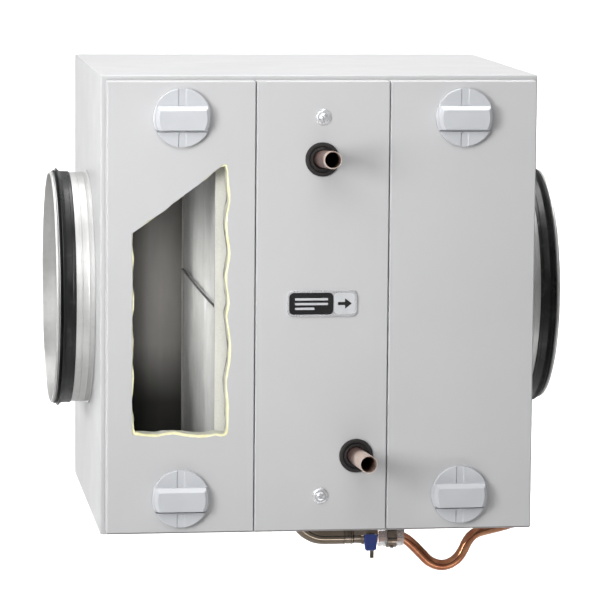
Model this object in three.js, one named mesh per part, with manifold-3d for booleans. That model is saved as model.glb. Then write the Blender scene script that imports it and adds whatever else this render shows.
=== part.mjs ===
// A wall-hung duct coil unit: an insulated casing with a round duct spigot on each side, a filter and a
// water coil inside, two lift-off doors with quarter-turn knobs, and a condensate drain with a valve and
// a trap. Millimetres. Every place is given in the casing's own frame: X to the right of its centre line,
// Y back from its front plane, Z up from its bottom. The last line moves that frame to the upper wall rail.
import * as THREE from "three";
import { mergeVertices } from "three/addons/utils/BufferGeometryUtils.js";
import Module from "manifold-3d";

const wasm = await Module();
wasm.setup();

// ---------------------------------------------------------------- driving dimensions
const GAP = 0.3; // clearance between pieces that touch
const SHEET = 1; // painted sheet
const LINER = 0.8; // inner sheet of the casing

const CASING_HALF = 228;
const CASING_HEIGHT = 479;
const CASING_DEPTH = 373;
const WALL = 20; // whole insulated wall, and the width of the front flange

const DOOR_FRONT = -23;
const DOOR_BACK = -2.6;
const DOOR_INSET = 5; // casing edge left showing round the panels
const SPLIT = 69.6; // vertical splits between the panels
const SPLIT_GAP = 1;
const GASKET_WIDTH = 9;

const KNOB_RADIUS = 30;
const KNOB_X = 146.5;
const KNOB_INSET = 37; // from the panel's top and bottom edges, for knobs and panel screws

const SPIGOT_RADIUS = 124;
const SPIGOT_WALL = 1.2;
const SPIGOT_END = 268.8;
const DUCT_Y = 186; // duct axis, behind the casing's front
const DUCT_Z = 238; // duct axis, above the casing's bottom
const ROUND = 32; // sides of the large round pieces

const PIPE_RADIUS = 9;
const PIPE_BORE = 8;
const PIPES = {
  upper: { x: -1, z: 393.6, endX: -1.6, endY: -105, endZ: 399.4 },
  lower: { x: 37, z: 84, endX: 37.4, endY: -111, endZ: 89.5 },
};

const FILTER_LEFT = -109;
const FILTER_RIGHT = -73.6;
const FILTER_DEPTH = 345;
const FILTER_BOTTOM = 24;
const FILTER_TOP = 455;
const FILTER_FRAME = 3;

const TUBE_RADIUS = 6;
const TUBE_ROWS = 5;
const TUBE_FIRST_Z = 80;
const TUBE_PITCH = 77;
const HEADER_RADIUS = 10;
const HEADER_Y = 13.6;
const FIN_LEFT = -22;
const FIN_RIGHT = 58;
const FIN_FRONT = 30;
const FIN_BACK = 320;
const FIN_BOTTOM = 46;
const FIN_TOP = 432;
const FIN_PITCH = 14;
const FIN_SLOT = 10;
const FIN_SLOT_DEPTH = 8;

const DRAIN_X = 2;
const DRAIN_Z = -42;
const DRAIN_BEND = 32;
const DRAIN_RADIUS = 9;
const VALVE_X = 83.5;
const TRAP_RADIUS = 6;
const HOSE_RADIUS = 9.4; // clear hose that joins the valve and the trap
const HOSE_WALL = 1;
const HOSE_DROP = 3.2; // how far the hose's axis hangs below the drain line

const RAIL_LENGTH = 420;
const RAIL_DEPTH = 15;
const UPPER_RAIL_Z = 430;
const LOWER_RAIL_Z = 49;

// ---------------------------------------------------------------- finishes
function finish(color, roughness, metalness) {
  return new THREE.MeshStandardMaterial({ color, roughness, metalness });
}

const paint = finish(0xd6d7d9, 0.45, 0);
const liner = finish(0x8d8f90, 0.4, 0.7);
const zinc = finish(0xb9bcbe, 0.35, 0.9);
const foam = finish(0xeeecc4, 0.95, 0);
const knobPlastic = finish(0xdfe0e3, 0.4, 0);
const rubber = finish(0x1d1d1f, 0.7, 0);
const copper = finish(0xa8603c, 0.3, 1);
const clearHose = finish(0xd8dadb, 0.2, 0);
const fleece = finish(0xd9dad8, 0.95, 0);
const filterCard = finish(0xe6e5df, 0.85, 0);
const darkWire = finish(0x3d3d3f, 0.5, 0.8);
const aluminium = finish(0xc4c6c8, 0.4, 0.9);
const trayPlastic = finish(0x2b2c2e, 0.6, 0);
const steel = finish(0x8c867c, 0.3, 0.9);
const blueGrip = finish(0x1f3f94, 0.3, 0);
const badgePlate = finish(0x2a2a2c, 0.4, 0.3);

// ---------------------------------------------------------------- solids
// A closed three.js geometry as a solid that can be joined and cut.
function solid(geometry) {
  const bare = geometry.clone();
  bare.deleteAttribute("normal");
  bare.deleteAttribute("uv");
  const merged = mergeVertices(bare, 1e-4);
  return new wasm.Manifold(
    new wasm.Mesh({
      numProp: 3,
      vertProperties: new Float32Array(merged.attributes.position.array),
      triVerts: new Uint32Array(merged.index.array),
    }),
  );
}

function box([x0, x1], [y0, y1], [z0, z1]) {
  const shape = new THREE.BoxGeometry(x1 - x0, y1 - y0, z1 - z0);
  shape.translate((x0 + x1) / 2, (y0 + y1) / 2, (z0 + z1) / 2);
  return solid(shape);
}

// The local X, Y and Z directions of an outline that is extruded along the named axis:
// its points are (y, z) along "x", (x, z) along "y" and (x, y) along "z".
const OUTLINE_AXES = {
  x: [new THREE.Vector3(0, 1, 0), new THREE.Vector3(0, 0, 1), new THREE.Vector3(1, 0, 0)],
  y: [new THREE.Vector3(1, 0, 0), new THREE.Vector3(0, 0, 1), new THREE.Vector3(0, -1, 0)],
  z: [new THREE.Vector3(1, 0, 0), new THREE.Vector3(0, 1, 0), new THREE.Vector3(0, 0, 1)],
};

function extruded(points, axis, from, to) {
  const outline = new THREE.Shape(points.map(([u, v]) => new THREE.Vector2(u, v)));
  const shape = new THREE.ExtrudeGeometry(outline, { depth: to - from, bevelEnabled: false });
  shape.applyMatrix4(new THREE.Matrix4().makeBasis(...OUTLINE_AXES[axis]));
  const start = { x: [from, 0, 0], y: [0, to, 0], z: [0, 0, from] }[axis];
  shape.translate(...start);
  return solid(shape);
}

const TURNS = {
  right: (shape) => shape.rotateZ(-Math.PI / 2),
  left: (shape) => shape.rotateZ(Math.PI / 2),
  front: (shape) => shape.rotateX(Math.PI),
  up: (shape) => shape.rotateX(Math.PI / 2),
};

// A solid of revolution. The profile is a list of (radius, distance along the named direction), running
// away from the origin on its outer side. It is closed here where it doesn't start and end on the axis.
function turned(profile, direction, sides, place = [0, 0, 0]) {
  const points = profile.map(([radius, along]) => new THREE.Vector2(radius, along));
  const onAxis = points[0].x === 0 && points[points.length - 1].x === 0;
  if (!onAxis) points.push(points[0].clone());
  const shape = new THREE.LatheGeometry(points, sides);
  TURNS[direction](shape);
  shape.translate(...place);
  return solid(shape);
}

function rod(radius, from, to, direction, sides, place) {
  return turned([[0, from], [radius, from], [radius, to], [0, to]], direction, sides, place);
}

// A round bar along a curve, with flat ends.
function swept(curve, radius, sides, steps) {
  const section = new THREE.Shape();
  for (let i = 0; i < sides; i++) {
    const angle = (2 * Math.PI * i) / sides;
    const [u, v] = [radius * Math.cos(angle), radius * Math.sin(angle)];
    if (i === 0) section.moveTo(u, v);
    else section.lineTo(u, v);
  }
  section.closePath();
  return solid(new THREE.ExtrudeGeometry(section, { steps, extrudePath: curve, bevelEnabled: false }));
}

// A straight round bar between two points.
function barBetween(start, end, radius, sides) {
  const [a, b] = [new THREE.Vector3(...start), new THREE.Vector3(...end)];
  const shape = new THREE.CylinderGeometry(radius, radius, a.distanceTo(b), sides);
  const turn = new THREE.Quaternion().setFromUnitVectors(
    new THREE.Vector3(0, 1, 0),
    b.clone().sub(a).normalize(),
  );
  shape.applyQuaternion(turn);
  const middle = a.clone().add(b).multiplyScalar(0.5);
  shape.translate(middle.x, middle.y, middle.z);
  return solid(shape);
}

const unit = new THREE.Group();

// Adds one named piece to the unit. Its faces stay flat-shaded, as sheet and machined faces are.
function piece(name, body, material) {
  const mesh = body.getMesh();
  const positions = new Float32Array(mesh.vertProperties);
  let geometry = new THREE.BufferGeometry();
  geometry.setAttribute("position", new THREE.BufferAttribute(positions, 3));
  geometry.setIndex(new THREE.BufferAttribute(new Uint32Array(mesh.triVerts), 1));
  geometry = geometry.toNonIndexed();
  geometry.computeVertexNormals();
  const made = new THREE.Mesh(geometry, material);
  made.name = name;
  unit.add(made);
}

// ---------------------------------------------------------------- casing
const FOAM_OUT = SHEET + GAP; // foam starts this far inside the outer skin
const FOAM_IN = WALL - 0.4; // and ends this far inside it
const LINER_OUT = FOAM_IN + GAP;
const BACK_SKIN_Y = CASING_DEPTH - SHEET;
const INNER_HALF = CASING_HALF - LINER_OUT - LINER; // half the clear width inside the liner
const INNER_BOTTOM = LINER_OUT + LINER;
const INNER_TOP = CASING_HEIGHT - INNER_BOTTOM;
const INNER_BACK = BACK_SKIN_Y - LINER_OUT - LINER;

function ductHole(body) {
  const hole = rod(SPIGOT_RADIUS + 1, -300, 300, "right", ROUND, [0, DUCT_Y, DUCT_Z]);
  return body.subtract(hole);
}

function drainHole(body) {
  return body.subtract(rod(DRAIN_RADIUS + 0.8, -10, 60, "up", 20, [DRAIN_X, DUCT_Y, 0]));
}

function casing() {
  const frontOpening = box(
    [-CASING_HALF + WALL, CASING_HALF - WALL],
    [-1, SHEET + 1],
    [WALL, CASING_HEIGHT - WALL],
  );
  const skin = box([-CASING_HALF, CASING_HALF], [0, CASING_DEPTH], [0, CASING_HEIGHT])
    .subtract(
      box(
        [-CASING_HALF + SHEET, CASING_HALF - SHEET],
        [SHEET, CASING_DEPTH + 1],
        [SHEET, CASING_HEIGHT - SHEET],
      ),
    )
    .subtract(frontOpening);
  piece("casing_skin", drainHole(ductHole(skin)), paint);

  const edge = CASING_HALF - FOAM_OUT;
  const backSkin = box([-edge, edge], [BACK_SKIN_Y, CASING_DEPTH], [FOAM_OUT, CASING_HEIGHT - FOAM_OUT]);
  piece("back_skin", backSkin, paint);

  const foamBack = BACK_SKIN_Y - GAP;
  const core = box([-edge, edge], [FOAM_OUT, foamBack], [FOAM_OUT, CASING_HEIGHT - FOAM_OUT]).subtract(
    box(
      [-CASING_HALF + FOAM_IN, CASING_HALF - FOAM_IN],
      [0, BACK_SKIN_Y - FOAM_IN],
      [FOAM_IN, CASING_HEIGHT - FOAM_IN],
    ),
  );
  piece("casing_foam", drainHole(ductHole(core)), foam);

  const linerHalf = CASING_HALF - LINER_OUT;
  const tub = box(
    [-linerHalf, linerHalf],
    [FOAM_OUT, BACK_SKIN_Y - LINER_OUT],
    [LINER_OUT, CASING_HEIGHT - LINER_OUT],
  ).subtract(box([-INNER_HALF, INNER_HALF], [0, INNER_BACK], [INNER_BOTTOM, INNER_TOP]));
  piece("casing_liner", drainHole(ductHole(tub)), liner);
}

// Vertical channels that the panels close against, open to the back.
function mullion(name, left, right) {
  const clear = 0.5;
  const wall = 1.5;
  const depth = 20;
  const post = box([left, right], [0, depth], [INNER_BOTTOM + clear, INNER_TOP - clear]);
  const hollow = box([left + wall, right - wall], [wall, depth + 1], [0, CASING_HEIGHT]);
  piece(name, post.subtract(hollow), zinc);
}

// ---------------------------------------------------------------- panels
const DOOR_BOTTOM = DOOR_INSET;
const DOOR_TOP = CASING_HEIGHT - DOOR_INSET;
const DOOR_EDGE = CASING_HALF - DOOR_INSET;
const KNOB_LOW = DOOR_BOTTOM + KNOB_INSET;
const KNOB_HIGH = DOOR_TOP - KNOB_INSET;
const PANELS = {
  left: [-DOOR_EDGE, -SPLIT - SPLIT_GAP / 2],
  centre: [-SPLIT + SPLIT_GAP / 2, SPLIT - SPLIT_GAP / 2],
  right: [SPLIT + SPLIT_GAP / 2, DOOR_EDGE],
};

// The cutaway in the left door: straight sides between four corners, each side torn to a slow ripple.
const WINDOW_CORNERS = [
  { x: -97, z: 106.5 },
  { x: -97, z: 392 },
  { x: -197, z: 318.5 },
  { x: -197, z: 106.5 },
];
const WINDOW_RIPPLES = [
  { size: 1.5, length: 51, shift: 2.4 }, // right side
  { size: 0.9, length: 31, shift: 0.6 }, // sloping side
  { size: 0.3, length: 60, shift: 0 }, // left side
  { size: 1.5, length: 43, shift: 1.9 }, // bottom
];

// The window's outline moved inwards by an inset for each side, with the ripple scaled and shifted.
function windowOutline(insets, rippleScale, rippleShift) {
  const corners = WINDOW_CORNERS.map(({ x, z }) => new THREE.Vector2(x, z));
  const points = [];
  corners.forEach((start, side) => {
    const end = corners[(side + 1) % corners.length];
    const along = end.clone().sub(start);
    const length = along.length();
    along.normalize();
    const inward = new THREE.Vector2(-along.y, along.x);
    const { size, length: wave, shift } = WINDOW_RIPPLES[side];
    const steps = Math.round(length / 11);
    for (let i = 1; i < steps; i++) {
      const distance = (length * i) / steps;
      const ripple = size * rippleScale * Math.sin((2 * Math.PI * distance) / wave + shift + rippleShift);
      const point = start.clone().addScaledVector(along, distance);
      point.addScaledVector(inward, insets[side] + ripple);
      points.push([point.x, point.y]);
    }
  });
  return points;
}

function panel(name, [left, right], cuts, openings = {}) {
  const height = [DOOR_BOTTOM, DOOR_TOP];
  const inside = SHEET + GAP;
  const backSheet = DOOR_BACK - SHEET;
  let skin = box([left, right], [DOOR_FRONT, DOOR_BACK], height).subtract(
    box(
      [left + SHEET, right - SHEET],
      [DOOR_FRONT + SHEET, DOOR_BACK + 1],
      [DOOR_BOTTOM + SHEET, DOOR_TOP - SHEET],
    ),
  );
  let core = box(
    [left + inside, right - inside],
    [DOOR_FRONT + inside, backSheet - GAP],
    [DOOR_BOTTOM + inside, DOOR_TOP - inside],
  );
  let inner = box(
    [left + inside, right - inside],
    [backSheet, DOOR_BACK],
    [DOOR_BOTTOM + inside, DOOR_TOP - inside],
  );
  for (const cut of cuts) [skin, core, inner] = [skin, core, inner].map((layer) => layer.subtract(cut));
  if (openings.skin) skin = skin.subtract(openings.skin);
  if (openings.core) core = core.subtract(openings.core);
  if (openings.inner) inner = inner.subtract(openings.inner);
  piece(`${name}_skin`, skin, paint);
  piece(`${name}_foam`, core, foam);
  piece(`${name}_inner_skin`, inner, liner);
}

function panelHole(radius, sides, x, z) {
  return rod(radius, -10, 40, "front", sides, [x, 0, z]);
}

function pipeLine({ x, z, endX, endY, endZ }) {
  const inside = 2;
  const share = (inside - DOOR_FRONT) / (DOOR_FRONT - endY);
  return {
    start: [x + (x - endX) * share, inside, z + (z - endZ) * share],
    end: [endX, endY, endZ],
  };
}

const GROMMET_NECK = 14.7;
const SCREW_RADIUS = 2.7;

function panels() {
  const through = [-30, 5];
  const doorOpenings = {
    skin: extruded(windowOutline([0, 0, 0, 0], 1, 0), "y", ...through),
    core: extruded(windowOutline([1.4, 1.6, 2.4, 1.4], 0.9, 0.9), "y", ...through),
    inner: extruded(windowOutline([-1, -1, -1, -1], 0.9, 0.9), "y", ...through),
  };
  const spindleHole = 7.7;
  for (const [side, sign] of [["left", -1], ["right", 1]]) {
    const cuts = [KNOB_LOW, KNOB_HIGH].map((z) => panelHole(spindleHole, 14, sign * KNOB_X, z));
    panel(`${side}_door`, PANELS[side], cuts, side === "left" ? doorOpenings : {});
  }
  const pipeHoles = Object.values(PIPES).map(({ x, z }) => panelHole(GROMMET_NECK + GAP, 20, x, z));
  const screwHoles = [KNOB_LOW, KNOB_HIGH].map((z) => panelHole(SCREW_RADIUS + GAP, 10, 0, z));
  panel("centre_panel", PANELS.centre, [...pipeHoles, ...screwHoles]);
}

function gaskets() {
  const thickness = [DOOR_BACK + GAP, -GAP];
  const spans = { left: [-218, -72], centre: [-67, 67], right: [72, 218] };
  for (const [name, [left, right]] of Object.entries(spans)) {
    const [bottom, top] = [DOOR_BOTTOM + 5, DOOR_TOP - 5];
    const ring = box([left, right], thickness, [bottom, top]).subtract(
      box(
        [left + GASKET_WIDTH, right - GASKET_WIDTH],
        [-10, 10],
        [bottom + GASKET_WIDTH, top - GASKET_WIDTH],
      ),
    );
    piece(`${name}_gasket`, ring, rubber);
  }
}

// ---------------------------------------------------------------- knobs and their sockets
const KNOB_DISC = 7;
const GRIP_HALF = 12.2;
const GRIP_FRONT = 16;
const LUG_HALF = 7.2;
const KNOB_SIDES = 28;

// One knob, turned about the Y axis, with the door's front face at Y = 0.
function knobBody() {
  const r = KNOB_RADIUS;
  const disc = turned(
    [[0, GAP], [r, GAP], [r, KNOB_DISC - 1], [r - 1, KNOB_DISC], [0, KNOB_DISC]],
    "front",
    KNOB_SIDES,
  );
  const gripRound = turned(
    [[0, 3], [r - 0.5, 3], [r - 2.2, GRIP_FRONT - 2.8], [r - 5.4, GRIP_FRONT], [0, GRIP_FRONT]],
    "front",
    KNOB_SIDES,
  );
  const gripSection = [
    [0, -GRIP_HALF],
    [0, GRIP_HALF],
    [-GRIP_FRONT + 4.5, GRIP_HALF],
    [-GRIP_FRONT - 1, GRIP_HALF - 5.3],
    [-GRIP_FRONT - 1, -GRIP_HALF],
  ];
  const grip = gripRound.intersect(extruded(gripSection, "x", -40, 40));
  const grooveHalf = 3.9;
  const grooveFloor = -KNOB_DISC + 1.2;
  const grooves = box([-grooveHalf, grooveHalf], [-KNOB_DISC - 1, grooveFloor], [GRIP_HALF, 40])
    .add(box([-grooveHalf, grooveHalf], [-KNOB_DISC - 1, grooveFloor], [-40, -GRIP_HALF - 6]))
    .add(rod(grooveHalf, -grooveFloor, KNOB_DISC + 1, "front", 12, [0, 0, -GRIP_HALF - 6]));
  const spindle = rod(7, -25, 1, "front", 14).add(rod(4.5, -37, -24, "front", 8));
  const lug = rod(2, -LUG_HALF, LUG_HALF, "right", 6, [0, 33, 0]);
  return disc.add(grip).subtract(grooves).add(spindle).add(lug);
}

// A bracket under the casing's inner wall, with the round cup that a knob's lug turns in.
function latchSocket(x, z, edgeZ) {
  const towardsEdge = Math.sign(edgeZ - z);
  const front = FOAM_OUT;
  const plateHalf = 15;
  const [low, high] = [z - towardsEdge * plateHalf, edgeZ].sort((a, b) => a - b);
  const footInner = edgeZ - towardsEdge * 2;
  const plate = box([x - plateHalf, x + plateHalf], [front, front + 2], [low, high]);
  const foot = box([x - plateHalf, x + plateHalf], [front, 25], [edgeZ, footInner].sort((a, b) => a - b));
  const cup = rod(12, -front - 15, -front, "front", 16, [x, 0, z]);
  const bore = rod(8.6, -30, 10, "front", 16, [x, 0, z]);
  return plate.add(foot).add(cup).subtract(bore);
}

function latches() {
  const heights = [["upper", KNOB_HIGH, INNER_TOP - GAP], ["lower", KNOB_LOW, INNER_BOTTOM + GAP]];
  for (const [level, z, edgeZ] of heights) {
    for (const [side, sign] of [["left", -1], ["right", 1]]) {
      const x = sign * KNOB_X;
      piece(`knob_${level}_${side}`, knobBody().translate([x, DOOR_FRONT, z]), knobPlastic);
      piece(`latch_socket_${level}_${side}`, latchSocket(x, z, edgeZ), zinc);
    }
  }
}

// ---------------------------------------------------------------- centre panel fittings
function screws() {
  for (const [level, z] of [["upper", KNOB_HIGH], ["lower", KNOB_LOW]]) {
    const place = [0, DOOR_FRONT, z];
    const washer = turned(
      [[3.1, GAP], [8.5, GAP], [8.5, 1], [6.6, 2.3], [5.6, 2.3], [3.1, 1.3]],
      "front",
      18,
      place,
    );
    piece(`panel_washer_${level}`, washer, zinc);
    const head = rod(4.9, 2.7, 5.4, "front", 16, place).subtract(rod(2.3, 3.6, 6, "front", 6, place));
    const shank = rod(SCREW_RADIUS, -28, 2.9, "front", 10, place);
    piece(`panel_screw_${level}`, head.add(shank), steel);
  }
}

function pipesAndGrommets() {
  for (const [level, pipe] of Object.entries(PIPES)) {
    const { start, end } = pipeLine(pipe);
    const run = new THREE.Vector3(...end).sub(new THREE.Vector3(...start));
    const longStart = new THREE.Vector3(...start).addScaledVector(run, -0.2).toArray();
    const longEnd = new THREE.Vector3(...end).addScaledVector(run, 0.2).toArray();
    const tube = barBetween(start, end, PIPE_RADIUS, 16);
    piece(`pipe_${level}`, tube.subtract(barBetween(longStart, longEnd, PIPE_BORE, 16)), copper);

    const back = DOOR_BACK - DOOR_FRONT;
    const rubberRing = turned(
      [
        [0, -back - 3],
        [GROMMET_NECK + 2.2, -back - 3],
        [GROMMET_NECK + 2.2, -back - GAP],
        [GROMMET_NECK, -back - GAP],
        [GROMMET_NECK, GAP],
        [17.7, GAP],
        [17.7, 2.6],
        [16.6, 4],
        [13, 4],
        [12.2, 2.4],
        [0, 2.4],
      ],
      "front",
      20,
      [pipe.x, DOOR_FRONT, pipe.z],
    );
    const grommet = rubberRing.subtract(barBetween(longStart, longEnd, PIPE_RADIUS + 0.5, 16));
    piece(`grommet_${level}`, grommet, rubber);
  }
}

function badge() {
  const [halfWide, halfHigh, corner] = [36.5, 13.5, 5];
  const outline = [];
  for (const [signX, signZ, first] of [[1, 1, 0], [-1, 1, 1], [-1, -1, 2], [1, -1, 3]]) {
    for (let step = 0; step <= 4; step++) {
      const angle = ((first + step / 4) * Math.PI) / 2;
      outline.push([
        signX * (halfWide - corner) + corner * Math.cos(angle),
        signZ * (halfHigh - corner) + corner * Math.sin(angle),
      ]);
    }
  }
  const [rim, thick, recess] = [2.6, 2.4, 0.8];
  const front = DOOR_FRONT - thick;
  const field = box(
    [rim - halfWide, halfWide - rim],
    [front - 1, front + recess],
    [rim - halfHigh, halfHigh - rim],
  );
  const plate = extruded(outline, "y", front, DOOR_FRONT - GAP).subtract(field);
  const heightOnPanel = 244;
  piece("badge", plate.translate([0, 0, heightOnPanel]), badgePlate);
}

// ---------------------------------------------------------------- filter
function filter() {
  const depth = [0, FILTER_DEPTH];
  const width = [FILTER_LEFT, FILTER_RIGHT];
  const inner = FILTER_FRAME;
  const lip = 7;
  const frame = box(width, depth, [FILTER_BOTTOM, FILTER_TOP])
    .subtract(
      box(
        [FILTER_LEFT + 1.5, FILTER_RIGHT - 1.5],
        [inner, FILTER_DEPTH - inner],
        [FILTER_BOTTOM + inner, FILTER_TOP - inner],
      ),
    )
    .subtract(box([-150, -50], [lip, FILTER_DEPTH - lip], [FILTER_BOTTOM + lip, FILTER_TOP - lip]));
  piece("filter_frame", frame, filterCard);

  const pad = box(
    [FILTER_LEFT + 1.5 + GAP, FILTER_RIGHT - 1.5 - GAP],
    [inner + GAP, FILTER_DEPTH - inner - GAP],
    [FILTER_BOTTOM + inner + GAP, FILTER_TOP - inner - GAP],
  );
  piece("filter_fleece", pad, fleece);

  const wireEnds = [lip + GAP - FILTER_DEPTH, -lip - GAP];
  piece("filter_wire", rod(1, ...wireEnds, "front", 8, [FILTER_LEFT + 0.5, 0, DUCT_Z]), darkWire);

  const wall = 1;
  const channel = [FILTER_LEFT - 0.5 - wall, FILTER_RIGHT + 0.5 + wall];
  const height = 11;
  for (const [level, low, inside] of [
    ["lower", INNER_BOTTOM + GAP, FILTER_BOTTOM - 0.5],
    ["upper", INNER_TOP - GAP - height, INNER_TOP - GAP - height - 1],
  ]) {
    const top = level === "lower" ? CASING_HEIGHT : FILTER_TOP + 0.5;
    const slot = box([channel[0] + wall, channel[1] - wall], [0, CASING_DEPTH], [inside, top]);
    const rail = box(channel, [22, INNER_BACK - 4], [low, low + height]).subtract(slot);
    piece(`filter_rail_${level}`, rail, zinc);
  }
}

// ---------------------------------------------------------------- coil
const TUBE_COLUMNS = [PIPES.upper.x, PIPES.lower.x];
const TUBE_HEIGHTS = Array.from({ length: TUBE_ROWS }, (_, row) => TUBE_FIRST_Z + row * TUBE_PITCH);

function tubeHoles(body) {
  let drilled = body;
  for (const x of TUBE_COLUMNS) {
    for (const z of TUBE_HEIGHTS) {
      drilled = drilled.subtract(rod(TUBE_RADIUS + 0.9, -400, 0, "front", 8, [x, 0, z]));
    }
  }
  return drilled;
}

function coilFins() {
  const outline = [[FIN_LEFT, FIN_FRONT], [FIN_RIGHT, FIN_FRONT]];
  const slots = [];
  for (let y = FIN_FRONT + 2; y + FIN_SLOT < FIN_BACK; y += FIN_PITCH) slots.push(y);
  for (const y of slots) {
    const floor = FIN_RIGHT - FIN_SLOT_DEPTH;
    outline.push([FIN_RIGHT, y], [floor, y], [floor, y + FIN_SLOT], [FIN_RIGHT, y + FIN_SLOT]);
  }
  outline.push([FIN_RIGHT, FIN_BACK], [FIN_LEFT, FIN_BACK]);
  for (const y of slots.reverse()) {
    const floor = FIN_LEFT + FIN_SLOT_DEPTH;
    outline.push([FIN_LEFT, y + FIN_SLOT], [floor, y + FIN_SLOT], [floor, y], [FIN_LEFT, y]);
  }
  piece("coil_fins", tubeHoles(extruded(outline, "z", FIN_BOTTOM, FIN_TOP)), aluminium);
}

function coilPlates() {
  const thick = 2;
  const width = [FIN_LEFT - 2, FIN_RIGHT + 2];
  const height = [24, FIN_TOP + 14];
  const frontY = FIN_FRONT - thick - 2;
  let front = box(width, [frontY, frontY + thick], height);
  for (const z of [KNOB_LOW, KNOB_HIGH]) {
    const half = 10;
    const tab = box([-half, half], [0, thick], [z - half, z + half]);
    const arm = box([-half, half], [0, frontY + thick], [z + half - thick, z + half]);
    front = front.add(tab).add(arm).subtract(rod(SCREW_RADIUS + GAP, -10, 1, "front", 10, [0, 0, z]));
  }
  piece("coil_plate_front", tubeHoles(front), zinc);
  piece("coil_plate_back", tubeHoles(box(width, [FIN_BACK + 2, FIN_BACK + 2 + thick], height)), zinc);
}

// Two upright headers, joined by hairpin tubes that run through the fins and turn behind them.
function coilTubes() {
  const [left, right] = TUBE_COLUMNS;
  const bendRadius = (right - left) / 2;
  const bendY = FIN_BACK + 5;
  const headerEnds = [TUBE_FIRST_Z - 18, TUBE_HEIGHTS[TUBE_ROWS - 1] + 18];
  let tubes = null;
  for (const x of TUBE_COLUMNS) {
    const header = rod(HEADER_RADIUS, ...headerEnds, "up", 14, [x, HEADER_Y, 0]);
    tubes = tubes ? tubes.add(header) : header;
  }
  for (const z of TUBE_HEIGHTS) {
    const arc = new THREE.CatmullRomCurve3(
      Array.from({ length: 7 }, (_, i) => {
        const angle = Math.PI - (Math.PI * i) / 6;
        const [across, back] = [bendRadius * Math.cos(angle), bendRadius * 0.7 * Math.sin(angle)];
        return new THREE.Vector3((left + right) / 2 + across, bendY + back, z);
      }),
    );
    tubes = tubes.add(swept(arc, TUBE_RADIUS, 8, 6));
    for (const x of TUBE_COLUMNS) {
      tubes = tubes.add(rod(TUBE_RADIUS - 0.02, -bendY - 0.5, -HEADER_Y, "front", 8, [x, 0, z]));
    }
  }
  piece("coil_tubes", tubes, copper);
}

// ---------------------------------------------------------------- condensate
function condensateTray() {
  const outer = box([-55, 70], [32, 338], [INNER_BOTTOM + GAP, 23]);
  const rim = box([-55, 70], [32, 338], [INNER_BOTTOM + GAP, 41]).subtract(
    box([-53.5, 68.5], [33.5, 336.5], [0, 60]),
  );
  const hole = rod(DRAIN_RADIUS + GAP, 0, 60, "up", 16, [DRAIN_X, DUCT_Y, 0]);
  piece("condensate_tray", outer.add(rim).subtract(hole), trayPlastic);
}

function drainElbow() {
  const bottom = DRAIN_Z + DRAIN_BEND;
  const top = 22.6;
  const end = 55;
  function shape(radius, sides, extra) {
    const arc = new THREE.CatmullRomCurve3(
      Array.from({ length: 7 }, (_, i) => {
        const angle = (Math.PI / 2) * (i / 6);
        return new THREE.Vector3(
          DRAIN_X + DRAIN_BEND * (1 - Math.cos(angle)),
          DUCT_Y,
          bottom - DRAIN_BEND * Math.sin(angle),
        );
      }),
    );
    const fit = radius - 0.02;
    return swept(arc, radius, sides, 5)
      .add(rod(fit, bottom - 1, top + extra, "up", sides, [DRAIN_X, DUCT_Y, 0]))
      .add(rod(fit, DRAIN_X + DRAIN_BEND - 1, end + extra, "right", sides, [0, DUCT_Y, DRAIN_Z]));
  }
  piece("drain_elbow", shape(DRAIN_RADIUS, 12, 0).subtract(shape(DRAIN_RADIUS - 1.5, 8, 5)), steel);
}

const LEVER_Y = DUCT_Y - 15;

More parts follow.
